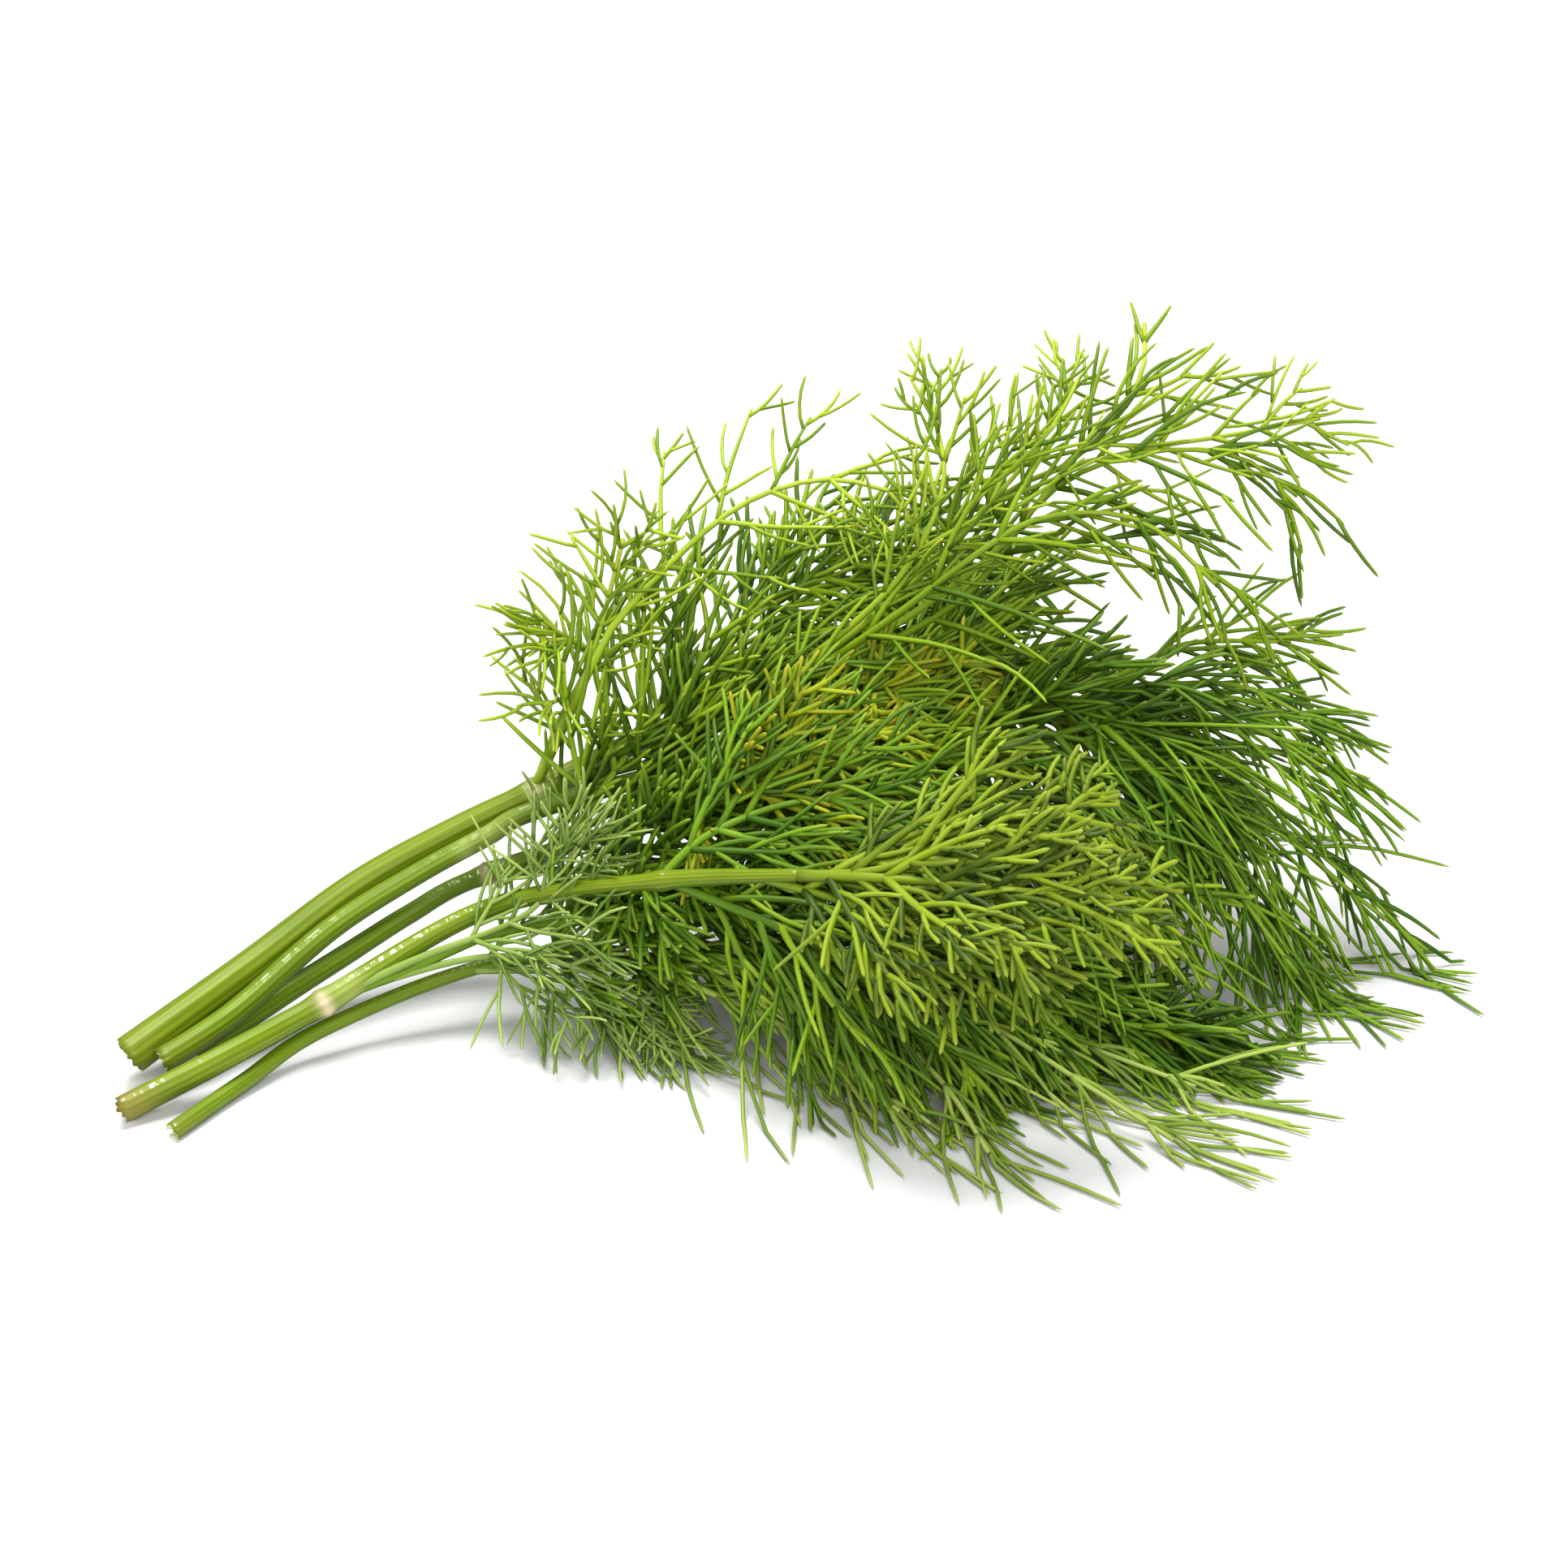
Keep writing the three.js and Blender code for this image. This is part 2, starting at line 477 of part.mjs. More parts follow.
// Last the needles, one at each place along a leaflet, on its two hands in turn
for (const frond of fronds) {
  const draw = new Draw(frond.seed * 104729 + 5);
  for (const { leaflet, out, length } of frond.leaflets) {
    const places = Math.max(2, Math.round(length / frond.spacing));
    for (let place = 0; place <= places; place += 1) {
      const share = 0.18 + 0.76 * (place / (places + 0.3)) ** 0.95;
      for (const hand of [-1, 1]) {
        const lean = draw.vector(needleStray.face);
        const angle = radians(frond.needleAngle) * (1 + draw.spread(needleStray.angle));
        const lift = draw.spread(needleStray.lift);
        const stretch = 1 + draw.spread(needleStray.length);
        const wander = Array.from({ length: needleSteps }, () => draw.vector(needleStray.sway));
        const rightHand = place % (2 * needleEvery) === 0;
        if (!leaflet || place % needleEvery !== 0 || rightHand !== (hand === 1)) continue;
        const parent = headingOn(leaflet, share);
        const across = acrossOf(parent, out.clone().add(lean).normalize());
        const heading = parent.clone().multiplyScalar(Math.cos(angle));
        heading.addScaledVector(across.side, hand * Math.cos(lift) * Math.sin(angle));
        heading.addScaledVector(across.out, Math.sin(lift) * Math.sin(angle));
        const needle = frond.needle * (1.2 - 0.5 * share) * stretch
          * (0.65 + 0.35 * Math.min(1, length / frond.reach));
        const radii = [0, 0.84 * frond.thick * cornerReach, 0];
        const points = growClear({
          stem: frond.stem, start: pointOn(leaflet, share), heading, length: needle,
          pull: parent.clone().multiplyScalar(needlePull), sag: frond.droop, wander, parent, radii,
          kept: [0, 1, 4], mayCrossOwn: false,
        });
        if (points) solids[frond.stem].push(stick(points, radii, leafSides));
      }
    }
  }
}

// Each leafy stem is joined into one solid, and the table flattens the underside of its cut end
const tableDepth = 20;
const table = new THREE.BoxGeometry(400, 400, tableDepth).translate(0, 0, -tableDepth / 2);
const tableSolid = solidOf(table);

function joinAll(pieces) {
  if (pieces.length === 1) return pieces[0];
  const half = Math.ceil(pieces.length / 2);
  return joinAll(pieces.slice(0, half)).add(joinAll(pieces.slice(half)));
}

// The triangles of the largest skin. What is left out is a hollow sealed between crossing leaves, which is
// filled that way, or a loose scrap.
function largestSkin(triVerts, cornerCount) {
  const skin = Array.from({ length: cornerCount }, (_, corner) => corner);
  const skinOf = (corner) => {
    let top = corner;
    while (skin[top] !== top) top = skin[top];
    skin[corner] = top;
    return top;
  };
  for (let i = 0; i < triVerts.length; i += 3) {
    skin[skinOf(triVerts[i + 1])] = skinOf(triVerts[i]);
    skin[skinOf(triVerts[i + 2])] = skinOf(triVerts[i]);
  }
  const skins = new Map();
  for (let i = 0; i < triVerts.length; i += 3) {
    const top = skinOf(triVerts[i]);
    if (!skins.has(top)) skins.set(top, []);
    skins.get(top).push(triVerts[i], triVerts[i + 1], triVerts[i + 2]);
  }
  return [...skins.values()].sort((a, b) => b.length - a.length)[0];
}

function leafyStem(name) {
  const solid = joinAll(solids[name]).subtract(tableSolid);
  const { vertProperties, triVerts } = solid.getMesh();
  const triangles = largestSkin(triVerts, vertProperties.length / 3);
  const geometry = new THREE.BufferGeometry();
  geometry.setAttribute("position", new THREE.BufferAttribute(new Float32Array(vertProperties), 3));
  geometry.setIndex(new THREE.BufferAttribute(new Uint32Array(triangles), 1));
  geometry.computeVertexNormals();
  const material = new THREE.MeshStandardMaterial({
    color: stems[name].colour, roughness: 0.45, metalness: 0, flatShading: true,
  });
  const mesh = new THREE.Mesh(geometry, material);
  mesh.name = `leafy_stem_${name}`;
  return mesh;
}

const bunch = new THREE.Group();
bunch.position.set(-bunchMiddle.x, -bunchMiddle.y, 0);
for (const name of Object.keys(stems)) bunch.add(leafyStem(name));

export default bunch;
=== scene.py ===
import math

import bmesh
import bpy
import numpy as np
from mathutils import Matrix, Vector


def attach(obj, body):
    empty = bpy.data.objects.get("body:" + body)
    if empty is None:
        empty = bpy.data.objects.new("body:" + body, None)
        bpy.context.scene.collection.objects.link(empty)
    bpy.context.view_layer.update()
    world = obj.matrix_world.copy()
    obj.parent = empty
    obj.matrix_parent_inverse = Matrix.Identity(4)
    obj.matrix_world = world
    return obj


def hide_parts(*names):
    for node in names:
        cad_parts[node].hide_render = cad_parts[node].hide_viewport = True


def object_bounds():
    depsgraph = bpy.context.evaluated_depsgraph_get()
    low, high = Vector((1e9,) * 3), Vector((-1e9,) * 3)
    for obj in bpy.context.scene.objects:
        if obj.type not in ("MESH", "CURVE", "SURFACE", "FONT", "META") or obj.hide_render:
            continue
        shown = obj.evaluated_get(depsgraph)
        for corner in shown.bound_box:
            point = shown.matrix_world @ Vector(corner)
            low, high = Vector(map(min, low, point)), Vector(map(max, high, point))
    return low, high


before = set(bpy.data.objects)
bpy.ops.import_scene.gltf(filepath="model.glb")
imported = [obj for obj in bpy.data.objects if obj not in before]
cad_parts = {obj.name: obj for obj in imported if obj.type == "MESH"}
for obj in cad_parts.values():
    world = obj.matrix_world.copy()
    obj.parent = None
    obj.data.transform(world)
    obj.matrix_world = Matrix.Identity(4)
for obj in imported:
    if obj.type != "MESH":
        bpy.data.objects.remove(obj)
cad_low, cad_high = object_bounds()


# ---------------------------------------------------------------- studio
# A long lens looks down on the bunch from in front. A wide soft light hangs above and behind, so that the
# shadow falls softly towards the viewer, and weaker ones in front and at the left open the dark gaps.
view_middle = Vector((-0.0064, 0.0161, 0.034))
view_height = math.radians(27)
view_distance = 0.760

camera = bpy.data.objects.new("camera", bpy.data.cameras.new("camera"))
camera.data.lens = 95
camera.data.sensor_width = 36
camera.data.clip_start = 0.05
camera.location = view_middle + view_distance * Vector((0, -math.cos(view_height), math.sin(view_height)))
camera.rotation_euler = (view_middle - camera.location).to_track_quat("-Z", "Y").to_euler()
bpy.context.scene.collection.objects.link(camera)
bpy.context.scene.camera = camera
bpy.context.scene.view_settings.view_transform = "Standard"


def soft_light(name, place, size, power):
    """A square soft light that faces the bunch."""
    light = bpy.data.objects.new(name, bpy.data.lights.new(name, "AREA"))
    light.data.size = size
    light.data.energy = power
    light.location = place
    light.rotation_euler = (view_middle - Vector(place)).to_track_quat("-Z", "Y").to_euler()
    bpy.context.scene.collection.objects.link(light)


soft_light("light_above", (-0.15, 0.32, 1.25), 0.7, 22)
soft_light("light_front", (0.25, -1.1, 0.9), 1.0, 13)
soft_light("light_left", (-1.1, -0.2, 0.6), 0.8, 3)

world = bpy.data.worlds.new("studio")
world.use_nodes = True
world.node_tree.nodes["Background"].inputs["Color"].default_value = (1, 1, 1, 1)
world.node_tree.nodes["Background"].inputs["Strength"].default_value = 0.3
bpy.context.scene.world = world

table_mesh = bpy.data.meshes.new("table")
table_shape = bmesh.new()
bmesh.ops.create_grid(table_shape, x_segments=1, y_segments=1, size=4)
table_shape.to_mesh(table_mesh)
table_shape.free()
table = bpy.data.objects.new("table", table_mesh)
bpy.context.scene.collection.objects.link(table)
table_finish = bpy.data.materials.new("pale_table")
table_finish.use_nodes = True
table_finish.node_tree.nodes["Principled BSDF"].inputs["Base Color"].default_value = (0.86, 0.86, 0.86, 1)
table_finish.node_tree.nodes["Principled BSDF"].inputs["Roughness"].default_value = 0.6
table_mesh.materials.append(table_finish)


# ---------------------------------------------------------------- upper stem
# The thickest stem lies at the back left. It is a fresh ribbed stalk, yellow-green and slightly waxy, with a
# slanting ragged cut at the left and one pale joint, where four leaf stalks leave it.
mm = 0.001
bunch_middle = Vector((6.4, 1.9, 0))


class Value:
    """A number in a finish. Arithmetic on it adds the Math nodes."""

    def __init__(self, finish, socket):
        self.finish = finish
        self.socket = socket

    def maths(self, operation, *numbers):
        inputs = dict(enumerate(numbers))
        return self.finish.node("ShaderNodeMath", {"operation": operation}, inputs)

    def __add__(self, other):
        return self.maths("ADD", self, other)

    def __sub__(self, other):
        return self.maths("SUBTRACT", self, other)

    def __rsub__(self, other):
        return self.maths("SUBTRACT", other, self)

    def __mul__(self, other):
        return self.maths("MULTIPLY", self, other)

    def __neg__(self):
        return self.maths("MULTIPLY", self, -1)

    __radd__ = __add__
    __rmul__ = __mul__

    def sine(self):
        return self.maths("SINE", self)

    def bell(self, middle, width):
        """1 at the middle, falling to 0 on both sides."""
        away = (self - middle) * (1 / width)
        return self.maths("EXPONENT", -(away * away))

    def between(self, low, high):
        """0 below low, 1 above high and smooth between."""
        steps = {"interpolation_type": "SMOOTHSTEP"}
        return self.finish.node("ShaderNodeMapRange", steps, {0: self, 1: low, 2: high})


class Finish:
    """A material, whose nodes are added one by one."""

    def __init__(self, name, **constants):
        self.material = bpy.data.materials.new(name)
        self.material.use_nodes = True
        self.tree = self.material.node_tree
        self.shader = self.tree.nodes["Principled BSDF"]
        for socket, number in constants.items():
            self.shader.inputs[socket.replace("_", " ")].default_value = number

    def node(self, kind, settings, inputs, output=0):
        """Any node: its settings are set first, then the values or links of its sockets."""
        made = self.tree.nodes.new(kind)
        for name, setting in settings.items():
            setattr(made, name, setting)
        for socket, value in inputs.items():
            self.feed(made.inputs[socket], value)
        return Value(self, made.outputs[output])

    def feed(self, socket, value):
        if isinstance(value, Value):
            self.tree.links.new(value.socket, socket)
        else:
            socket.default_value = value

    def place(self):
        return self.node("ShaderNodeTexCoord", {}, {}, "Object")

    def along_and_round(self):
        """The shares of a stalk's length and of its way round, from its UV map."""
        uv = self.node("ShaderNodeUVMap", {"uv_map": "UVMap"}, {})
        return [self.node("ShaderNodeSeparateXYZ", {}, {0: uv}, axis) for axis in (0, 1)]

    def facing(self, direction):
        """1 where the surface faces a direction, -1 where it faces away."""
        normal = self.node("ShaderNodeNewGeometry", {}, {}, "Normal")
        towards = {0: normal, 1: direction}
        return self.node("ShaderNodeVectorMath", {"operation": "DOT_PRODUCT"}, towards, "Value")

    def stretched(self, x, y, z=0.0):
        return self.node("ShaderNodeCombineXYZ", {}, {0: x, 1: y, 2: z})

    def noise(self, place, scale, detail=2.0):
        return self.node("ShaderNodeTexNoise", {}, {"Vector": place, "Scale": scale, "Detail": detail})

    def blend(self, share, first, second):
        mixed = {"data_type": "RGBA"}
        return self.node("ShaderNodeMix", mixed, {0: share, 6: first, 7: second}, 2)

    def surface(self, **sockets):
        for socket, value in sockets.items():
            self.feed(self.shader.inputs[socket.replace("_", " ")], value)
        return self.material

    def relief(self, height, strength, distance):
        inputs = {"Height": height, "Strength": strength, "Distance": distance}
        return self.node("ShaderNodeBump", {}, inputs)


def paint(red, green, blue):
    """A colour given as it looks on a screen, 0 to 255, in the renderer's linear scale."""
    def linear(level):
        level /= 255
        return level / 12.92 if level <= 0.04045 else ((level + 0.055) / 1.055) ** 2.4

    return (linear(red), linear(green), linear(blue), 1)


# Points for each piece of a route, before they are spaced evenly
fine_steps = 40


def smooth_line(points, steps):
    """Points evenly spaced along the smooth curve through a route."""
    ends = [2 * points[0] - points[1], *points, 2 * points[-1] - points[-2]]
    fine = [points[0]]
    for a, b, c, d in zip(ends, ends[1:], ends[2:], ends[3:]):
        for i in range(1, fine_steps + 1):
            t = i / fine_steps
            bend = (2 * a - 5 * b + 4 * c - d) * t + (3 * b - a - 3 * c + d) * t * t
            fine.append(0.5 * (2 * b + (c - a + bend) * t))
    return [point_on(fine, i / steps)[0] for i in range(steps + 1)]


def point_on(line, share):
    """The point at a share of a line's length, and the line's heading there."""
    lengths = [(b - a).length for a, b in zip(line, line[1:])]
    rest = share * sum(lengths)
    step = 0
    while step < len(lengths) - 1 and rest > lengths[step]:
        rest -= lengths[step]
        step += 1
    part = min(rest / lengths[step], 1)
    return line[step].lerp(line[step + 1], part), (line[step + 1] - line[step]).normalized()


def tube_mesh(name, strands, finishes, round_steps=1, profile=None, closed=True):
    """The mesh of stalks that all have as many points. A strand is its points and radii in millimetres, and
    the number of its finish."""
    curve = bpy.data.curves.new(name, "CURVE")
    curve.dimensions = "3D"
    curve.bevel_depth = mm
    curve.bevel_resolution = round_steps
    curve.use_fill_caps = closed
    if profile:
        curve.bevel_mode = "OBJECT"
        curve.bevel_object = profile
    for finish in finishes:
        curve.materials.append(finish)
    for points, radii, finish_number in strands:
        spline = curve.splines.new("POLY")
        spline.points.add(len(points) - 1)
        places = [number for point in points for number in (*((point - bunch_middle) * mm), 1)]
        spline.points.foreach_set("co", places)
        spline.points.foreach_set("radius", radii)
        spline.material_index = finish_number
        spline.use_smooth = True
    holder = bpy.data.objects.new(name, curve)
    bpy.context.scene.collection.objects.link(holder)
    mesh = bpy.data.meshes.new_from_object(holder.evaluated_get(bpy.context.evaluated_depsgraph_get()))
    bpy.data.objects.remove(holder)
    mesh.name = name
    return mesh


def add_piece(name, mesh, node):
    """Puts a finished piece in the scene in place of its solid."""
    piece = bpy.data.objects.new(name, mesh)
    bpy.context.scene.collection.objects.link(piece)
    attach(piece, "root")
    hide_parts(node)


# The outline of a stem across its length. Each rib is one corner at full reach and two in the groove
ribs_round_a_stem = 13
rib_corners = 3 * ribs_round_a_stem
groove_reach = 0.955

rib_outline = bpy.data.curves.new("rib_outline", "CURVE")
rib_spline = rib_outline.splines.new("POLY")
rib_spline.points.add(rib_corners - 1)
for i, corner in enumerate(rib_spline.points):
    turn = 2 * math.pi * i / rib_corners
    reach = mm * (1.0 if i % 3 == 0 else groove_reach)
    corner.co = (reach * math.cos(turn), reach * math.sin(turn), 0, 1)
rib_spline.use_cyclic_u = True
rib_profile = bpy.data.objects.new("rib_outline", rib_outline)
bpy.context.scene.collection.objects.link(rib_profile)


class Draw:
    """Seeded draw, so that the bunch grows the same every time."""

    size, factor, shift = 2 ** 32, 1664525, 1013904223

    def __init__(self, seed):
        self.state = seed % self.size

    def next(self):
        self.state = (self.state * self.factor + self.shift) % self.size
        return self.state / self.size

    def spread(self, amount):
        return (2 * self.next() - 1) * amount

    def vector(self, amount):
        return Vector((self.spread(amount), self.spread(amount), self.spread(amount)))


def across(heading, face):
    """The directions across a shoot: sideways in the leaf's face, and out of the face."""
    out = (face - heading * face.dot(heading)).normalized()
    return heading.cross(out), out


# Millimetres that a joint's ring and the leaf sheath above it stand out, and shares of the stem's length
ring_rise, ring_length = 0.35, 0.015
sheath_rise, sheath_length = 0.3, 0.14
top_length, top_share = 0.03, 0.25


def stem_radius(cut_radius, top_radius, joints, share):
    """A stem tapers, with a ring at each joint and a leaf sheath above it, and ends among its leaf stalks."""
    radius = (cut_radius + (top_radius - cut_radius) * share) * min(1, top_share + (1 - share) / top_length)
    for joint in joints:
        above = share - joint
        radius += ring_rise * math.exp(-((above / ring_length) ** 2))
        if 0 < above < sheath_length:
            radius += sheath_rise * (1 - above / sheath_length)
    return radius


def stem_finish(name, ridge, groove, joint_colour, joints, wet_and_glint, dry=0.25, drop_and_glint_side=(-0.2, -0.42, 0.88)):
    """Ribbed skin: yellow-green ridges, darker grooves, painted shade where it faces down, a dry cut end,
    pale joints and rows of small water droplets that shine with a coat and have painted white glints."""
    skin = Finish(name, Coat_Roughness=0.08, Specular_Tint=(0.8, 0.95, 0.5, 1))
    along, around = skin.along_and_round()
    ribs = (around * (2 * math.pi * ribs_round_a_stem)).sine() * 0.5 + 0.5
    streaks = skin.noise(skin.stretched(along * 5, around * 34), 1.0, 3)
    patches = skin.noise(skin.place(), 55, 2)
    colour = skin.blend((ribs * 0.16 + streaks * 0.9).between(0.15, 0.85), groove, ridge)
    colour = skin.blend(patches.between(0.45, 0.75) * 0.35, colour, groove)
    # Painted shade: where the skin faces down and away, it is blended towards dark green.
    painted_shade_facing = skin.facing((0.15, -0.35, 0.9)).between(-0.5, 0.75)
    colour = skin.blend((1 - painted_shade_facing) * 0.75, colour, paint(44, 70, 2))
    colour = skin.blend((along + streaks * 0.03).bell(0, 0.05) * dry, colour, paint(136, 118, 56))
    at_joint = 0.0
    above_joint = 0.0
    for joint in joints:
        at_joint = (along + patches * 0.01).bell(joint + 0.008, 0.009) + at_joint
        above_joint = along.bell(joint + 0.035, 0.03) + above_joint
    if joints:
        colour = skin.blend(above_joint * streaks * 0.8, colour, paint(186, 198, 108))
        side = skin.facing((0.1, -0.9, 0.1)).between(-0.3, 0.9)
        colour = skin.blend(at_joint * side * (0.2 + streaks * 1.1), colour, joint_colour)
    # Rows of small water droplets on a strip that faces one way. They give a shiny coat and lower roughness,
    # and their near-white colour is a painted glint.
    drop_and_glint_band = skin.facing(drop_and_glint_side).between(0.955, 0.985)
    drops_and_glints = skin.noise(skin.stretched(along * 150, around * 6, 2.0), 1.0, 2).between(0.5, 0.58)
    where = skin.noise(skin.stretched(along * 9, 3.0), 1.0, 1).between(0.42, 0.56)
    drops_and_glints = drops_and_glints * drop_and_glint_band * where * wet_and_glint
    # Painted highlight: the droplets are coloured near-white.
    colour = skin.blend(drops_and_glints, colour, paint(240, 246, 214))
    height = ribs * 0.4 + streaks * 0.6
    return skin.surface(
        Base_Color=colour,
        Roughness=0.45 - 0.3 * drops_and_glints,
        Coat_Weight=drops_and_glints,
        Normal=skin.relief(height, 0.25, 0.0003),
    )


def cut_finish(name, colour, dark):
    """The cut face of a stem: pith or rim with small darker vessels."""
    face = Finish(name, Roughness=0.45)
    vessels = face.noise(face.place(), 1500, 2).between(0.55, 0.75)
    fade = face.noise(face.place(), 260, 1)
    tone = face.blend(vessels * 0.55 + fade * 0.2, colour, dark)
    return face.surface(Base_Color=tone, Normal=face.relief(vessels, 0.4, 0.0002))


# How far the low cut leans, and the length added to a stem before it is cut, in millimetres
cut_slope = 0.6
cut_allowance = 1.6
stem_steps = 150

# The cut face as rings inside its rim: share of the rim's width, and depth in millimetres
cut_rings = ((0.84, 0.0), (0.5, 0.18), (0.0, 0.3))
merge_distance = 1e-6


def add_stem(name, route, cut_radius, top_radius, joints, finishes, ragged=0.9):
    """Makes a stem along its route with a slanting, ragged cut at its low end, and gives its middle line."""
    draw = Draw(len(name) * 7 + 3)
    line = smooth_line([Vector(point) for point in route], stem_steps)
    radii = [
        stem_radius(cut_radius, top_radius, joints, i / stem_steps) for i in range(stem_steps + 1)
    ]
    longer = [line[0] + (line[0] - line[1]).normalized() * cut_allowance, *line[1:]]
    mesh = tube_mesh(name, [(longer, radii, 0)], finishes, profile=rib_profile, closed=False)
    shape = bmesh.new()
    shape.from_mesh(mesh)
    bmesh.ops.remove_doubles(shape, verts=shape.verts, dist=merge_distance)
    for end, beyond, slope in ((longer[0], line[1], cut_slope), (line[-1], line[-2], 0)):
        inward = (beyond - end).normalized()
        to_viewer = across(inward, Vector((0, -0.89, 0.45)))[1]
        reach = stem_radius(cut_radius, top_radius, joints, 0 if slope else 1) * mm
        middle = (end - bunch_middle) * mm + inward * (slope * reach + ragged * mm)
        bmesh.ops.bisect_plane(
            shape, geom=[*shape.verts, *shape.edges, *shape.faces], dist=merge_distance,
            plane_co=middle, plane_no=-(inward + slope * to_viewer), clear_outer=True,
        )
        near = 8 * mm
        rim = [corner for corner in shape.verts if corner.is_boundary and (corner.co - middle).length < near]
        for corner in rim:
            corner.co -= inward * draw.next() * ragged * mm
        rim_edges = [edge for edge in shape.edges if edge.is_boundary and edge.verts[0] in rim]
        outer_share = 1.0
        for number, (share, depth) in enumerate(cut_rings):
            made = bmesh.ops.extrude_edge_only(shape, edges=rim_edges)["geom"]
            corners = [item for item in made if isinstance(item, bmesh.types.BMVert)]
            rim_edges = [item for item in made if isinstance(item, bmesh.types.BMEdge) and item.is_boundary]
            for corner in corners:
                corner.co = middle + (corner.co - middle) * (share / outer_share) + inward * depth * mm
            outer_share = share
            for item in made:
                if isinstance(item, bmesh.types.BMFace):
                    item.material_index = 1 if number == 0 else 2
        bmesh.ops.remove_doubles(shape, verts=corners, dist=merge_distance)
    for corner in shape.verts:
        corner.co.z = max(corner.co.z, 0)
    bmesh.ops.recalc_face_normals(shape, faces=shape.faces)
    if shape.calc_volume(signed=True) < 0:
        bmesh.ops.reverse_faces(shape, faces=shape.faces)
    shape.to_mesh(mesh)
    shape.free()
    add_piece(name, mesh, name.replace("stem_", "leafy_stem_"))
    return line


pale_rim = cut_finish("cut_rim", paint(186, 202, 110), paint(140, 164, 76))
pale_pith = cut_finish("cut_pith", paint(228, 234, 190), paint(184, 198, 132))
upper_skin = stem_finish(
    "upper_stem_skin", paint(130, 150, 12), paint(86, 108, 4), paint(226, 216, 168), [0.62], 0.0,
)
upper_line = add_stem(
    "stem_upper",
    [
        (-115.9, -32.2, 5.4), (-96.5, -11.2, 11.5), (-77.7, 3.5, 20.5), (-60.2, 10.8, 28),
        (-44.3, 16, 34), (-17.5, 25, 44), (5, 27.5, 50),
    ],
    3.7, 1.6, [0.62], [upper_skin, pale_rim, pale_pith],
)


# ---------------------------------------------------------------- fronds of the upper stem
# Thirteen leaves: sparse light green ones that rise at the left, long ones that arch over the bunch to the
# right, and darker ones behind, one of them in the dark green that is partly painted shade. Each grows as a
# midrib, pairs of leaflets, and needles, some of them forked.


def needle_finish(name, shaded, plain, tip, bloom=0.12):
    """Smooth waxy needles: each has its own shade, turns paler to its tip, has painted shade where it faces
    down and is finely grooved.
    """
    needle = Finish(name, IOR=1.4, Specular_Tint=(0.85, 0.95, 0.6, 1))
    along, around = needle.along_and_round()
    shade = needle.node("ShaderNodeAttribute", {"attribute_name": "shade"}, {}, "Fac")
    patches = needle.noise(needle.place(), 70, 2)
    grain = needle.noise(needle.stretched(along * 3, around * 9, shade * 40), 1.0, 2)
    colour = needle.blend((shade * 0.75 + patches * 0.5).between(0.25, 0.95), shaded, plain)
    colour = needle.blend(along.between(0.55, 1.0) * (0.35 + shade * 0.5), colour, tip)
    colour = needle.blend(grain.between(0.5, 0.8) * bloom, colour, paint(196, 206, 150))
    # Painted shade: needles that face down and away are blended towards dark green.
    painted_shade_facing = needle.facing((0.1, -0.3, 0.95)).between(-0.6, 0.6)
    colour = needle.blend((1 - painted_shade_facing) * 0.65, colour, paint(30, 58, 2))
    groove = (around * (4 * math.pi)).sine() * 0.5 + grain
    return needle.surface(
        Base_Color=colour,
        Roughness=0.38 + 0.25 * grain,
        Normal=needle.relief(groove, 0.25, 0.0002),
    )


needle_finishes = {
    "light": needle_finish("light_needles", paint(110, 144, 14), paint(168, 194, 46), paint(196, 206, 70)),
    "mid": needle_finish("mid_green_needles", paint(72, 108, 4), paint(134, 166, 20), paint(164, 184, 46)),
    "deep": needle_finish("deep_green_needles", paint(58, 98, 4), paint(118, 158, 22), paint(156, 182, 54)),
    # The dark green finish goes to leaves under and inside the bunch. It is partly their own deeper green and
    # partly painted shade.
    "dark": needle_finish("dark_green_painted_shade_needles", paint(42, 76, 2), paint(92, 130, 12), paint(126, 154, 34)),
}

# How each kind of leaf is divided. Angles in degrees: of the leaflets from the midrib, of the needles from a
# leaflet and of the threads from a needle. Then the needles' length, spacing and thickness in millimetres,
# how leaflets sag and sweep forwards, how needles droop, the chance of each thread and of leaflets between
# the pairs, and how loosely the needles stray
habits = {
    "lacy": dict(angle=50, needle_angle=44, thread_angle=34, needle=12.5, spacing=9, thick=0.33,
                 sag=0.15, sweep=0.35, droop=0.1, forks=(0.6, 0.2), more=0, loose=0.9),
    "feathery": dict(angle=42, needle_angle=33, thread_angle=26, needle=17, spacing=9.5, thick=0.46,
                     sag=0.45, sweep=0.5, droop=0.4, forks=(0.6, 0.25), more=0.45, loose=0.75),
    "hairy": dict(angle=34, needle_angle=25, thread_angle=18, needle=27, spacing=12, thick=0.36,
                  sag=0.6, sweep=0.6, droop=0.65, forks=(0.6, 0.25), more=0.2, loose=0.6),
    "antler": dict(angle=42, needle_angle=42, thread_angle=36, needle=10.5, spacing=8, thick=0.54,
                   sag=0.2, sweep=0.3, droop=0.15, forks=(1.2, 0.8), more=0, loose=0.45),
}

# Lowest height in millimetres of a shoot's middle line, and its last step as a share of the others
leaf_rest = 0.7
tip_step = 0.3


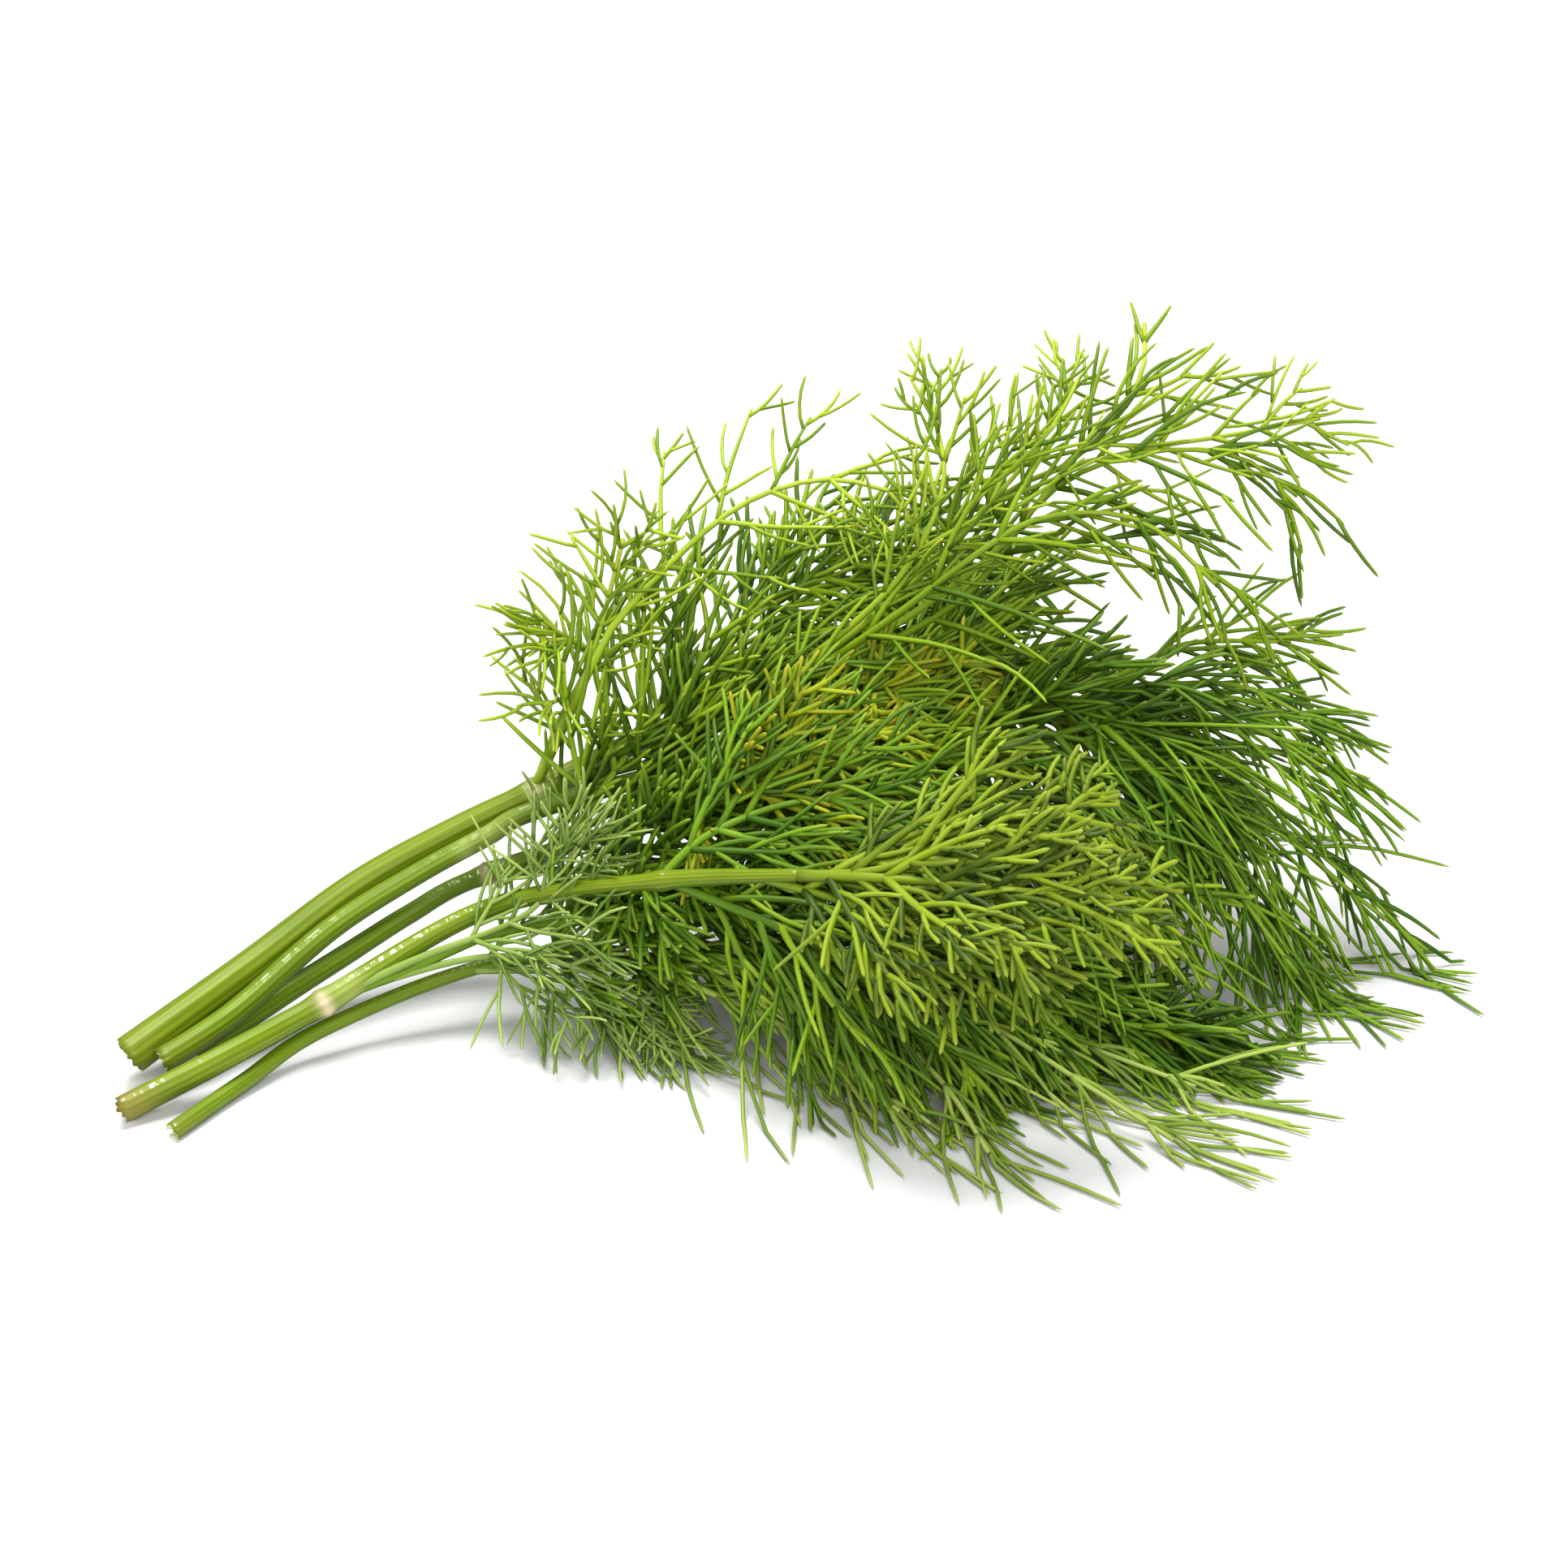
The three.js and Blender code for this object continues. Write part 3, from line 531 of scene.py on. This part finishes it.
def grow(start, heading, length, pull, sag, wander):
    """A shoot that bends along its pull and down, and lies on the table where it meets it. Its last step is
    short, which makes the tip blunt."""
    steps = len(wander)
    points = [start]
    direction = heading.copy()
    for number, sway in enumerate(wander):
        direction += pull / steps + sway
        direction.z -= sag / steps
        direction.normalize()
        step = tip_step if number == steps - 1 else 1
        point = points[-1] + direction * (length * step / (steps - (1 - tip_step)))
        if point.z < leaf_rest:
            point.z = leaf_rest
            direction.z = max(direction.z, 0.02)
            direction.normalize()
        points.append(point)
    return points


def turned(parent, out, angle, hand, lift):
    """The heading of a shoot that leaves its parent at an angle, on one hand, lifted out of the face."""
    side, out = across(parent, out)
    away = side * (hand * math.cos(lift)) + out * math.sin(lift)
    return parent * math.cos(angle) + away * math.sin(angle), out


# The room for needles and threads, just inside the box of the solids. One that would leave it is left out
growing_room = (
    Vector(cad_low) / mm + bunch_middle + Vector((0.4, 0.4, -0.2)),
    Vector(cad_high) / mm + bunch_middle - Vector((0.4, 0.4, 0.4)),
)


def has_room(points):
    low, high = growing_room
    return all(low[axis] < point[axis] < high[axis] for point in points for axis in range(3))


# Places of the threads along a needle, each with its hand
fork_places = ((0.26, 1), (0.52, -1))

# Radius of a shoot at each of its points, as a share of its leaf's thickness
leaflet_taper = (1.6, 1.5, 1.4, 1.3, 1.15, 1, 0.85, 0.15)
needle_taper = (1.16, 1.1, 1.05, 0.98, 0.82, 0.2)
thread_taper = (1.04, 1.03, 1, 0.94, 0.78, 0.2)

# How far shoots stray from the rule of their leaf
leaflet_stray = {"face": 0.25, "angle": 0.12, "lift": 0.4, "length": 0.16, "sway": 0.06}
needle_stray = {"face": 0.45, "angle": 0.3, "lift": 0.5, "length": 0.25, "sway": 0.09, "bend": 0.22}
thread_stray = {"face": 0.35, "angle": 0.35, "lift": 0.35, "length": 0.25, "sway": 0.04, "bend": 0.2}

midrib_steps = 20
midrib_root, midrib_tip = 0.8, 0.44


def grow_frond(stem_line, strands, seed, colour, at, habit, bare, reach, pairs, tilt, route, **own):
    """Grows one leaf and adds its midrib, leaflets, needles and threads to the strands."""
    way = {"root": 1.1, "kept": 1, "bushy": 0, **habits[habit], **own}
    draw = Draw(seed * 7919 + 17)
    fine_draw = Draw(seed * 104729 + 5)
    thread_draw = Draw(seed * 15485863 + 3)
    between_draw = Draw(seed * 65537 + 11)
    line = smooth_line([point_on(stem_line, at)[0], *(Vector(point) for point in route)], midrib_steps)
    radii = [
        midrib_tip + (midrib_root * way["root"] - midrib_tip) * (1 - i / midrib_steps) ** 1.6
        for i in range(midrib_steps + 1)
    ]
    for point, radius in zip(line, radii):
        point.z = max(point.z, radius)
    strands["midribs"].append((line, radii, colour, 0.6))
    tilt = math.radians(tilt)
    face = Vector((0, -math.cos(tilt), math.sin(tilt)))
    for step in range(2 * pairs + 2):
        draw_here, draw_needles = (draw, fine_draw) if step % 2 == 0 else (between_draw, between_draw)
        leaf_share = (step / 2 / (pairs + 0.35)) ** 0.92
        if leaf_share > 0.97 or (step % 2 and (way["kept"] < 1 or between_draw.next() > way["more"])):
            continue
        start, parent = point_on(line, bare + (1 - bare) * leaf_share)
        out = across(parent, (face + draw_here.vector(leaflet_stray["face"])).normalized())[1]
        size = (1 - 0.55 * leaf_share) * (0.78 + 0.22 * math.sin(math.pi * min(1, leaf_share * 1.7)))
        for hand in (-1, 1):
            angle = math.radians(way["angle"]) * (1 - 0.3 * leaf_share)
            angle += draw_here.spread(leaflet_stray["angle"])
            lift = 0.15 + draw_here.spread(leaflet_stray["lift"])
            length = reach * size * (1 + draw_here.spread(leaflet_stray["length"]))
            heading = turned(parent, out, angle, hand, lift)[0]
            wander = [*(draw_here.vector(leaflet_stray["sway"]) for _ in range(6)), Vector()]
            leaflet = grow(start, heading, length, parent * way["sweep"], way["sag"], wander)
            widths = [way["thick"] * share for share in leaflet_taper]
            strands["leaflets"].append((leaflet, widths, colour, thread_draw.next()))
            places = max(2, math.floor(length / way["spacing"] + 0.5))
            for place in range(places + 1):
                # The hand on which the solid has a needle at this place
                in_solid = {0: 1, 5: -1}.get(place % 10) if step % 2 == 0 else None
                grow_needles(leaflet, out, length / reach, place / (places + 0.3), way, colour, strands,
                             draw_needles, thread_draw, in_solid)
            for place in range(places * way["bushy"]):
                upright = across(parent, out)[0]
                grow_needles(leaflet, upright, length / reach, (place + 0.5) / places / way["bushy"], way,
                             colour, strands, thread_draw, thread_draw)


def grow_needles(leaflet, face, fullness, place, way, colour, strands, draw, thread_draw, in_solid=None):
    """Adds the needles of both hands at a place along a leaflet, with the threads that fork from them. The
    needle on the hand that the solid has is there wherever it has room."""
    for hand in (-1, 1):
        share = 0.18 + 0.76 * place ** 0.95 + 0.035 * hand
        start, parent = point_on(leaflet, share)
        lean = draw.vector(needle_stray["face"]) * way["loose"]
        angle = math.radians(way["needle_angle"]) * (1 + draw.spread(needle_stray["angle"]))
        lift = draw.spread(needle_stray["lift"]) * way["loose"]
        stretch = 1 + draw.spread(needle_stray["length"])
        wander = [draw.vector(needle_stray["sway"]) for _ in range(4)]
        heading, out = turned(parent, (face + 0.5 * lean).normalized(), angle, hand, 0.6 * lift)
        length = way["needle"] * (1.3 - 0.5 * share) * stretch * (0.65 + 0.35 * min(1, fullness))
        bend = thread_draw.vector(needle_stray["bend"]) * way["loose"]
        wander = [*(0.6 * sway + bend for sway in wander), bend]
        needle = grow(start, heading, length, parent * 1.5, way["droop"], wander)
        chance = 0.15 + 0.85 * way["kept"]
        if not has_room(needle) or (thread_draw.next() > chance and hand != in_solid):
            continue
        widths = [way["thick"] * share for share in needle_taper]
        strands["needles"].append((needle, widths, colour, thread_draw.next()))
        for (fork, fork_hand), chance in zip(fork_places, way["forks"]):
            lean = thread_draw.vector(thread_stray["face"]) * way["loose"]
            angle = math.radians(way["thread_angle"]) * (1 + thread_draw.spread(thread_stray["angle"]))
            lift = thread_draw.spread(thread_stray["lift"]) * way["loose"]
            thread_length = length * (0.9 - 0.5 * fork) * (1 + thread_draw.spread(thread_stray["length"]))
            bend = thread_draw.vector(thread_stray["bend"]) * way["loose"]
            wander = [thread_draw.vector(thread_stray["sway"]) + bend for _ in range(5)]
            base, needle_heading = point_on(needle, fork)
            heading = turned(needle_heading, (out + lean).normalized(), angle, fork_hand * hand, lift)[0]
            thread = grow(base, heading, thread_length, needle_heading * 1.3, way["droop"], wander)
            if has_room(thread) and thread_draw.next() < chance * way["kept"]:
                widths = [way["thick"] * share for share in thread_taper]
                strands["threads"].append((thread, widths, colour, thread_draw.next()))


# Steps round each kind of strand: half its sides, less two
strand_kinds = {"midribs": 2, "leaflets": 1, "needles": 1, "threads": 0}


def add_fronds(stem, stem_line, fronds, first_seed):
    """Grows the leaves of a stem and adds them as one piece for each kind of strand."""
    strands = {kind: [] for kind in strand_kinds}
    for number, frond in enumerate(fronds):
        grow_frond(stem_line, strands, **{"seed": first_seed + number, **frond})
    colours = sorted({frond["colour"] for frond in fronds})
    finishes = [needle_finishes[colour] for colour in colours]
    for kind, round_steps in strand_kinds.items():
        name = f"{kind}_{stem}"
        numbered = [(points, radii, colours.index(colour)) for points, radii, colour, _ in strands[kind]]
        mesh = tube_mesh(name, numbered, finishes, round_steps)
        # A tube's two caps come first in its curve's mesh, last strand first, and then the rings
        sides = 4 + 2 * round_steps
        shades = np.array([strand[3] for strand in strands[kind]])
        rings = len(strands[kind][0][0])
        values = np.concatenate([np.repeat(shades[::-1], 2 * sides), np.repeat(shades, rings * sides)])
        mesh.attributes.new("shade", "FLOAT", "POINT").data.foreach_set("value", values.astype(np.float32))
        shape = bmesh.new()
        shape.from_mesh(mesh)
        bmesh.ops.remove_doubles(shape, verts=shape.verts, dist=merge_distance)
        bmesh.ops.recalc_face_normals(shape, faces=shape.faces)
        shape.to_mesh(mesh)
        shape.free()
        add_piece(name, mesh, f"leafy_stem_{stem}")


upper_fronds = [
    dict(colour="light", habit="lacy", at=0.62, bare=0.5, reach=30, pairs=4, tilt=38, kept=0.35, root=1.3,
         route=[(-39, 14, 50), (-34, 17, 60), (-28, 22, 68), (-10, 37, 80), (7, 43, 84), (23, 40, 82)]),
    dict(colour="light", habit="lacy", at=0.62, bare=0.68, reach=17, pairs=3, tilt=25, kept=0.3, root=0.8,
         route=[(-40, 15, 49), (-35, 18, 59), (-31, 24, 72), (-29, 25, 80)]),
    dict(colour="light", habit="lacy", at=0.62, bare=0.62, reach=17, pairs=3, tilt=38, kept=0.3, root=0.8,
         route=[(-41, 15, 48), (-36, 19, 57), (-37, 20, 62), (-44, 16, 64)]),
    dict(colour="light", habit="lacy", at=0.62, bare=0.5, reach=15, pairs=2, tilt=38, kept=0.35, root=0.7,
         route=[(-40, 15, 48), (-39, 17, 52), (-43, 10, 54)]),
    dict(colour="mid", habit="feathery", at=0.985, bare=0.25, reach=42, pairs=5, tilt=42, kept=0.2,
         sag=0.8, thick=0.38,
         route=[(32, 29, 66), (48, 36, 84), (64, 36, 92), (82, 40, 90), (94, 40, 82)]),
    dict(colour="mid", habit="feathery", at=0.97, bare=0.2, reach=42, pairs=5, tilt=45, kept=0.25, sag=0.7,
         thick=0.38,
         route=[(20, 22, 66), (33, 20, 78), (46, 25, 84), (64, 29, 82), (78, 23, 72)]),
    dict(colour="light", habit="feathery", at=0.985, bare=0.5, reach=26, pairs=3, tilt=20, kept=0.4, sag=0,
         sweep=0.6, thick=0.38,
         route=[(35, 30, 72), (52, 37, 90), (65, 51, 100), (67, 65, 106)]),
    dict(colour="light", habit="lacy", at=0.97, bare=0.62, reach=24, pairs=4, tilt=38, kept=0.4, sag=0.1,
         route=[(23, 32, 68), (42, 39, 84), (64, 42, 90), (82, 45, 92), (99, 53, 92)]),
    dict(colour="light", habit="lacy", at=0.93, bare=0.45, reach=24, pairs=4, tilt=25, angle=38, kept=0.4,
         route=[(14, 26, 64), (24, 28, 76), (29, 34, 88), (27, 44, 98)]),
    dict(colour="light", habit="lacy", at=0.95, bare=0.5, reach=24, pairs=4, tilt=25, angle=38, kept=0.4,
         route=[(20, 29, 66), (33, 30, 80), (45, 36, 92), (53, 51, 100)]),
    dict(colour="dark", habit="feathery", at=0.72, bare=0.3, reach=30, pairs=4, tilt=115, kept=0.5,
         route=[(-12, 48, 42), (2, 64, 24), (10, 72, 4)]),
    dict(colour="deep", habit="feathery", at=0.95, bare=0.25, reach=32, pairs=4, tilt=115, kept=0.5,
         route=[(20, 46, 50), (42, 62, 32), (56, 74, 4)]),
    dict(seed=38, colour="deep", habit="feathery", at=0.8, bare=0.2, reach=32, pairs=4, tilt=45, more=0.6,
         sag=0.3,
         route=[(-10, 32, 50), (5, 44, 56), (24, 57, 60), (41, 65, 60)]),
]
add_fronds("upper", upper_line, upper_fronds, 1)


# ---------------------------------------------------------------- twin stem
# A thinner, darker stem lies close below the first and runs on to the far right, where its leaves start.
# It is the same ribbed green stalk, with the same cut. Nothing joins it to the others.
twin_skin = stem_finish(
    "twin_stem_skin", paint(122, 148, 12), paint(78, 104, 4), paint(150, 170, 84), [0.36], 0.25,
)
twin_line = add_stem(
    "stem_twin",
    [
        (-109.2, -34.8, 6.3), (-102.7, -27.6, 7.4), (-96.1, -19.8, 9.2), (-81.4, -6.3, 17.3),
        (-66.4, 2.7, 23.6), (-54, 7.4, 28.8), (-45.2, 9.7, 32.9), (-14, 21, 37.5), (5, 28, 40),
        (56, 19.5, 50),
    ],
    2.4, 1.1, [], [twin_skin, pale_rim, pale_pith],
)


# ---------------------------------------------------------------- fronds of the twin stem
# Ten leaves, most of them deep green, whose long needles hang like hair at the far right and down to the
# table. They grow from the stem as the upper stem's leaves do.
twin_fronds = [
    dict(colour="deep", habit="hairy", at=0.985, bare=0.05, reach=40, pairs=5, tilt=58, kept=0.6,
         route=[(69, 19, 46), (84, 15, 34), (101, 12, 18), (119, 9, 4)]),
    dict(colour="mid", habit="hairy", at=0.985, bare=0.45, reach=18, pairs=3, tilt=50, kept=0.5, needle=15,
         sag=0.2,
         route=[(64, 25, 54), (75, 32, 56), (94, 37, 54)]),
    dict(colour="deep", habit="hairy", at=0.985, bare=0.3, reach=22, pairs=3, tilt=50, kept=0.45,
         needle=16, sag=0.3,
         route=[(69, 22, 52), (84, 26, 50), (98, 23, 44)]),
    dict(colour="deep", habit="hairy", at=0.985, bare=0.3, reach=26, pairs=3, tilt=58, kept=0.5, needle=17,
         sag=0.3,
         route=[(69, 22, 48), (87, 20, 44), (102, 16, 36)]),
    dict(colour="deep", habit="hairy", at=0.985, bare=0.1, reach=30, pairs=4, tilt=58, kept=0.45,
         route=[(64, 20, 44), (74, 15, 30), (85, 13, 14), (97, 2, 3)]),
    dict(colour="mid", habit="feathery", at=0.78, bare=0.1, reach=36, pairs=4, tilt=50,
         route=[(20, 33, 46), (40, 34, 49), (59, 34, 44)]),
    dict(colour="deep", habit="hairy", at=0.85, bare=0.2, reach=28, pairs=4, tilt=115, kept=0.5,
         route=[(60, 42, 36), (80, 56, 18), (92, 64, 3)]),
    dict(seed=39, colour="deep", habit="hairy", at=0.72, bare=0.2, reach=30, pairs=4, tilt=50, kept=0.5,
         route=[(36, 10, 42), (50, -6, 38), (64, -16, 22), (77, -20, 6)]),
    dict(seed=40, colour="dark", habit="feathery", at=0.85, bare=0.15, reach=32, pairs=4, tilt=45, bushy=1,
         more=0.6,
         route=[(34, 19, 44), (47, 13, 47), (63, 11, 43), (74, 7, 35)]),
    dict(seed=41, colour="deep", habit="hairy", at=0.985, bare=0.1, reach=30, pairs=4, tilt=55, kept=0.5,
         route=[(63, 6, 46), (75, 1, 34), (84, -4, 20), (93, -7, 8)]),
]
add_fronds("twin", twin_line, twin_fronds, 13)


# ---------------------------------------------------------------- middle stem
# This stem lies low between the others. Water droplets with painted white glints lie on its ridges, and a
# bulging pale sheath wraps it above its pinkish joint.
middle_skin = stem_finish(
    "middle_stem_skin", paint(122, 150, 12), paint(70, 100, 2), paint(214, 190, 150), [0.53], 1.0,
    drop_and_glint_side=(-0.3, -0.6, 0.74),
)
middle_line = add_stem(
    "stem_middle",
    [
        (-104.5, -24.5, 2.3), (-91.7, -11.5, 5.5), (-79.7, -1.1, 9), (-68.7, 6.7, 13),
        (-56.3, 11.6, 18), (-24.5, 13.5, 29), (-1, 20, 34),
    ],
    2.3, 1.2, [0.53], [middle_skin, pale_rim, pale_pith],
)


# ---------------------------------------------------------------- fronds of the middle stem
# Nine leaves fill the middle of the bunch, most of them feathery. Two short ones have yellowing needles with
# orange tips.
needle_finishes["yellow"] = needle_finish(
    "yellowing_needles", paint(100, 124, 4), paint(160, 174, 22), paint(206, 168, 40),
)
middle_fronds = [
    dict(colour="mid", habit="feathery", at=0.62, bare=0.2, reach=36, pairs=5, tilt=38, sag=0.3,
         route=[(-40, 4, 28), (-30, 9, 42), (-16, 24, 55), (-1, 38, 62), (17, 52, 64)]),
    dict(colour="mid", habit="feathery", at=0.75, bare=0.15, reach=36, pairs=5, tilt=45,
         route=[(-16, 12, 42), (-1, 17, 46), (17, 24, 51), (35, 31, 54)]),
    dict(colour="yellow", habit="antler", at=0.985, bare=0.05, reach=28, pairs=4, tilt=45, thick=0.55,
         route=[(11, 21, 42), (23, 23, 46), (32, 29, 48)]),
    dict(colour="mid", habit="feathery", at=0.985, bare=0.05, reach=34, pairs=4, tilt=52, bushy=1,
         route=[(20, 9, 37), (44, 0, 34), (68, -9, 24)]),
    dict(colour="mid", habit="feathery", at=0.6, bare=0.1, reach=30, pairs=4, tilt=38, bushy=2, sag=0.2,
         route=[(-31, 9, 33), (-17, 11, 40), (2, 16, 42), (20, 20, 44)]),
    dict(seed=42, colour="dark", habit="feathery", at=0.985, bare=0.1, reach=34, pairs=4, tilt=50, bushy=1,
         more=0.9,
         route=[(23, 3, 36), (42, -15, 26), (61, -19, 10), (74, -24, 3)]),
    dict(seed=43, colour="deep", habit="feathery", at=0.7, bare=0.15, reach=32, pairs=4, tilt=42, bushy=1,
         more=0.9, sag=0.3,
         route=[(-17, 12, 38), (-2, 21, 43), (14, 26, 47), (32, 38, 54)]),
    dict(seed=44, colour="yellow", habit="antler", at=0.85, bare=0.2, reach=24, pairs=4, tilt=42,
         thick=0.5,
         route=[(-10, -4, 42), (2, -4, 48), (14, 5, 50), (23, 19, 48)]),
    dict(seed=45, colour="deep", habit="lacy", at=0.53, bare=0.3, reach=26, pairs=4, tilt=38, bushy=2,
         more=1, thick=0.48,
         route=[(-41, 7, 22), (-26, -4, 28), (-10, -4, 34), (6, 2, 38)]),
]
add_fronds("middle", middle_line, middle_fronds, 20)


# ---------------------------------------------------------------- front stem
# The front stem has dried brown at its cut end, and water droplets with painted white glints lie on its
# ridges. One joint shows, with a pale pinkish ring, and a second one is under the leaves.
brown_rim = cut_finish("dry_cut_rim", paint(134, 122, 62), paint(96, 84, 44))
brown_pith = cut_finish("dry_cut_pith", paint(186, 170, 118), paint(128, 108, 66))
front_skin = stem_finish(
    "front_stem_skin", paint(132, 154, 14), paint(84, 108, 4), paint(230, 208, 176), [0.285], 0.6, 0.9,
)
front_line = add_stem(
    "stem_front",
    [
        (-115, -44.5, 2.3), (-99, -34.5, 6.5), (-83, -21, 9.5),
        (-53.5, -6, 21), (-22, -19.5, 34), (4.5, -34, 43),
    ],
    2.5, 1.2, [0.285, 0.78], [front_skin, brown_rim, brown_pith], 1.3,
)


# ---------------------------------------------------------------- fronds of the front stem
# Nine leaves: bright yellow-green ones with short thick forks like antlers in front, feathery ones beside
# and under them, and three from the lower joint, two of them fine and grey-green.
needle_finishes["bright"] = needle_finish(
    "bright_needles", paint(48, 72, 2), paint(134, 158, 22), paint(168, 182, 58),
)
needle_finishes["grey"] = needle_finish(
    "grey_green_needles", paint(90, 122, 36), paint(154, 180, 84), paint(184, 200, 116), 0.3,
)
front_fronds = [
    dict(colour="bright", habit="antler", at=0.985, bare=0.1, reach=32, pairs=5, tilt=43, kept=0.8,
         root=1.5,
         route=[(18, -41, 46), (41, -49, 48), (56, -48, 46)]),
    dict(colour="bright", habit="antler", at=0.985, bare=0.2, reach=26, pairs=4, tilt=43, kept=0.6,
         route=[(17, -39, 47), (32, -35, 52), (51, -28, 52)]),
    dict(colour="bright", habit="antler", at=0.92, bare=0.2, reach=26, pairs=4, tilt=43, kept=0.6,
         route=[(10, -38, 40), (25, -46, 38), (41, -46, 32)]),
    dict(colour="deep", habit="feathery", at=0.78, bare=0.15, reach=30, pairs=4, tilt=38, sag=0.2,
         route=[(-13, -15, 41), (4, -10, 45), (26, -12, 45)]),
    dict(colour="mid", habit="feathery", at=0.79, bare=0.15, reach=32, pairs=5, tilt=45, kept=0.3,
         route=[(-9, -26, 32), (8, -33, 28), (26, -35, 16), (33, -43, 6)]),
    dict(colour="grey", habit="lacy", at=0.29, bare=0.5, reach=20, pairs=4, tilt=38, root=1.2, sag=0,
         route=[(-66, -14, 15), (-47, -11, 22), (-39, -7, 30), (-36, -6, 36)]),
    dict(colour="grey", habit="lacy", at=0.29, bare=0.5, reach=22, pairs=4, tilt=45, sag=0.4,
         route=[(-68, -14, 12), (-53, -11, 14), (-39, -14, 14), (-24, -18, 8)]),
    dict(colour="deep", habit="feathery", at=0.29, bare=0.5, reach=36, pairs=5, tilt=52, bushy=1, root=1.3,
         route=[(-66, -13, 13), (-48, -8, 18), (-10, -14, 24), (26, -21, 21), (62, -28, 8)]),
    dict(seed=46, colour="dark", habit="feathery", at=0.79, bare=0.2, reach=34, pairs=5, tilt=50, bushy=1,
         more=0.9,
         route=[(-5, -29, 32), (13, -31, 24), (41, -26, 14), (67, -26, 6)]),
]
add_fronds("front", front_line, front_fronds, 25)


# ---------------------------------------------------------------- low stem
# The thinnest stem lies on the table under the others, without a joint that shows. It is ribbed and green
# like them, with a few water droplets that have painted white glints.
low_skin = stem_finish(
    "low_stem_skin", paint(126, 150, 14), paint(80, 108, 4), paint(206, 200, 150), [], 0.7,
)
low_line = add_stem(
    "stem_low",
    [
        (-105.5, -50, 1.3), (-95, -34.5, 1.9), (-82, -21, 5),
        (-53.5, -7, 10), (-27, -9.5, 13), (-4, -17.5, 14),
    ],
    1.7, 1.0, [], [low_skin, pale_rim, pale_pith],
)


# ---------------------------------------------------------------- fronds of the low stem
# Seven leaves, five of them soft green fans of long fine needles that lie on the table towards the viewer,
# and two lacy ones near the stalks.
needle_finishes["soft"] = needle_finish(
    "soft_green_needles", paint(112, 142, 42), paint(168, 190, 82), paint(194, 206, 116), 0.25,
)
low_fronds = [
    dict(colour="soft", habit="hairy", at=0.985, bare=0.05, reach=28, pairs=4, tilt=45, kept=0.15,
         route=[(13, -25, 12), (27, -42, 7), (35, -58, 2)]),
    dict(colour="soft", habit="hairy", at=0.9, bare=0.2, reach=28, pairs=4, tilt=52, kept=0.3,
         route=[(12, -20, 17), (33, -30, 13), (53, -43, 6), (67, -54, 2)]),
    dict(colour="soft", habit="hairy", at=0.95, bare=0.2, reach=28, pairs=4, tilt=60, kept=0.22,
         route=[(19, -20, 15), (45, -28, 9), (72, -38, 3)]),
    dict(colour="soft", habit="hairy", at=0.75, bare=0.15, reach=26, pairs=4, tilt=52, kept=0.15,
         route=[(-12, -16, 13), (-1, -24, 8), (11, -35, 3)]),
    dict(colour="grey", habit="lacy", at=0.55, bare=0.3, reach=16, pairs=3, tilt=52,
         route=[(-39, -12, 11), (-30, -17, 7), (-20, -24, 3)]),
    dict(seed=47, colour="soft", habit="hairy", at=0.75, bare=0.15, reach=28, pairs=4, tilt=52, kept=0.2,
         route=[(-10, -23, 12), (6, -33, 8), (20, -48, 4)]),
    dict(seed=48, colour="deep", habit="lacy", at=0.55, bare=0.25, reach=22, pairs=3, tilt=45, bushy=2,
         more=1, thick=0.44,
         route=[(-33, -10, 16), (-18, -9, 20), (2, -11, 22)]),
]
add_fronds("low", low_line, low_fronds, 33)

bpy.data.objects.remove(rib_profile)
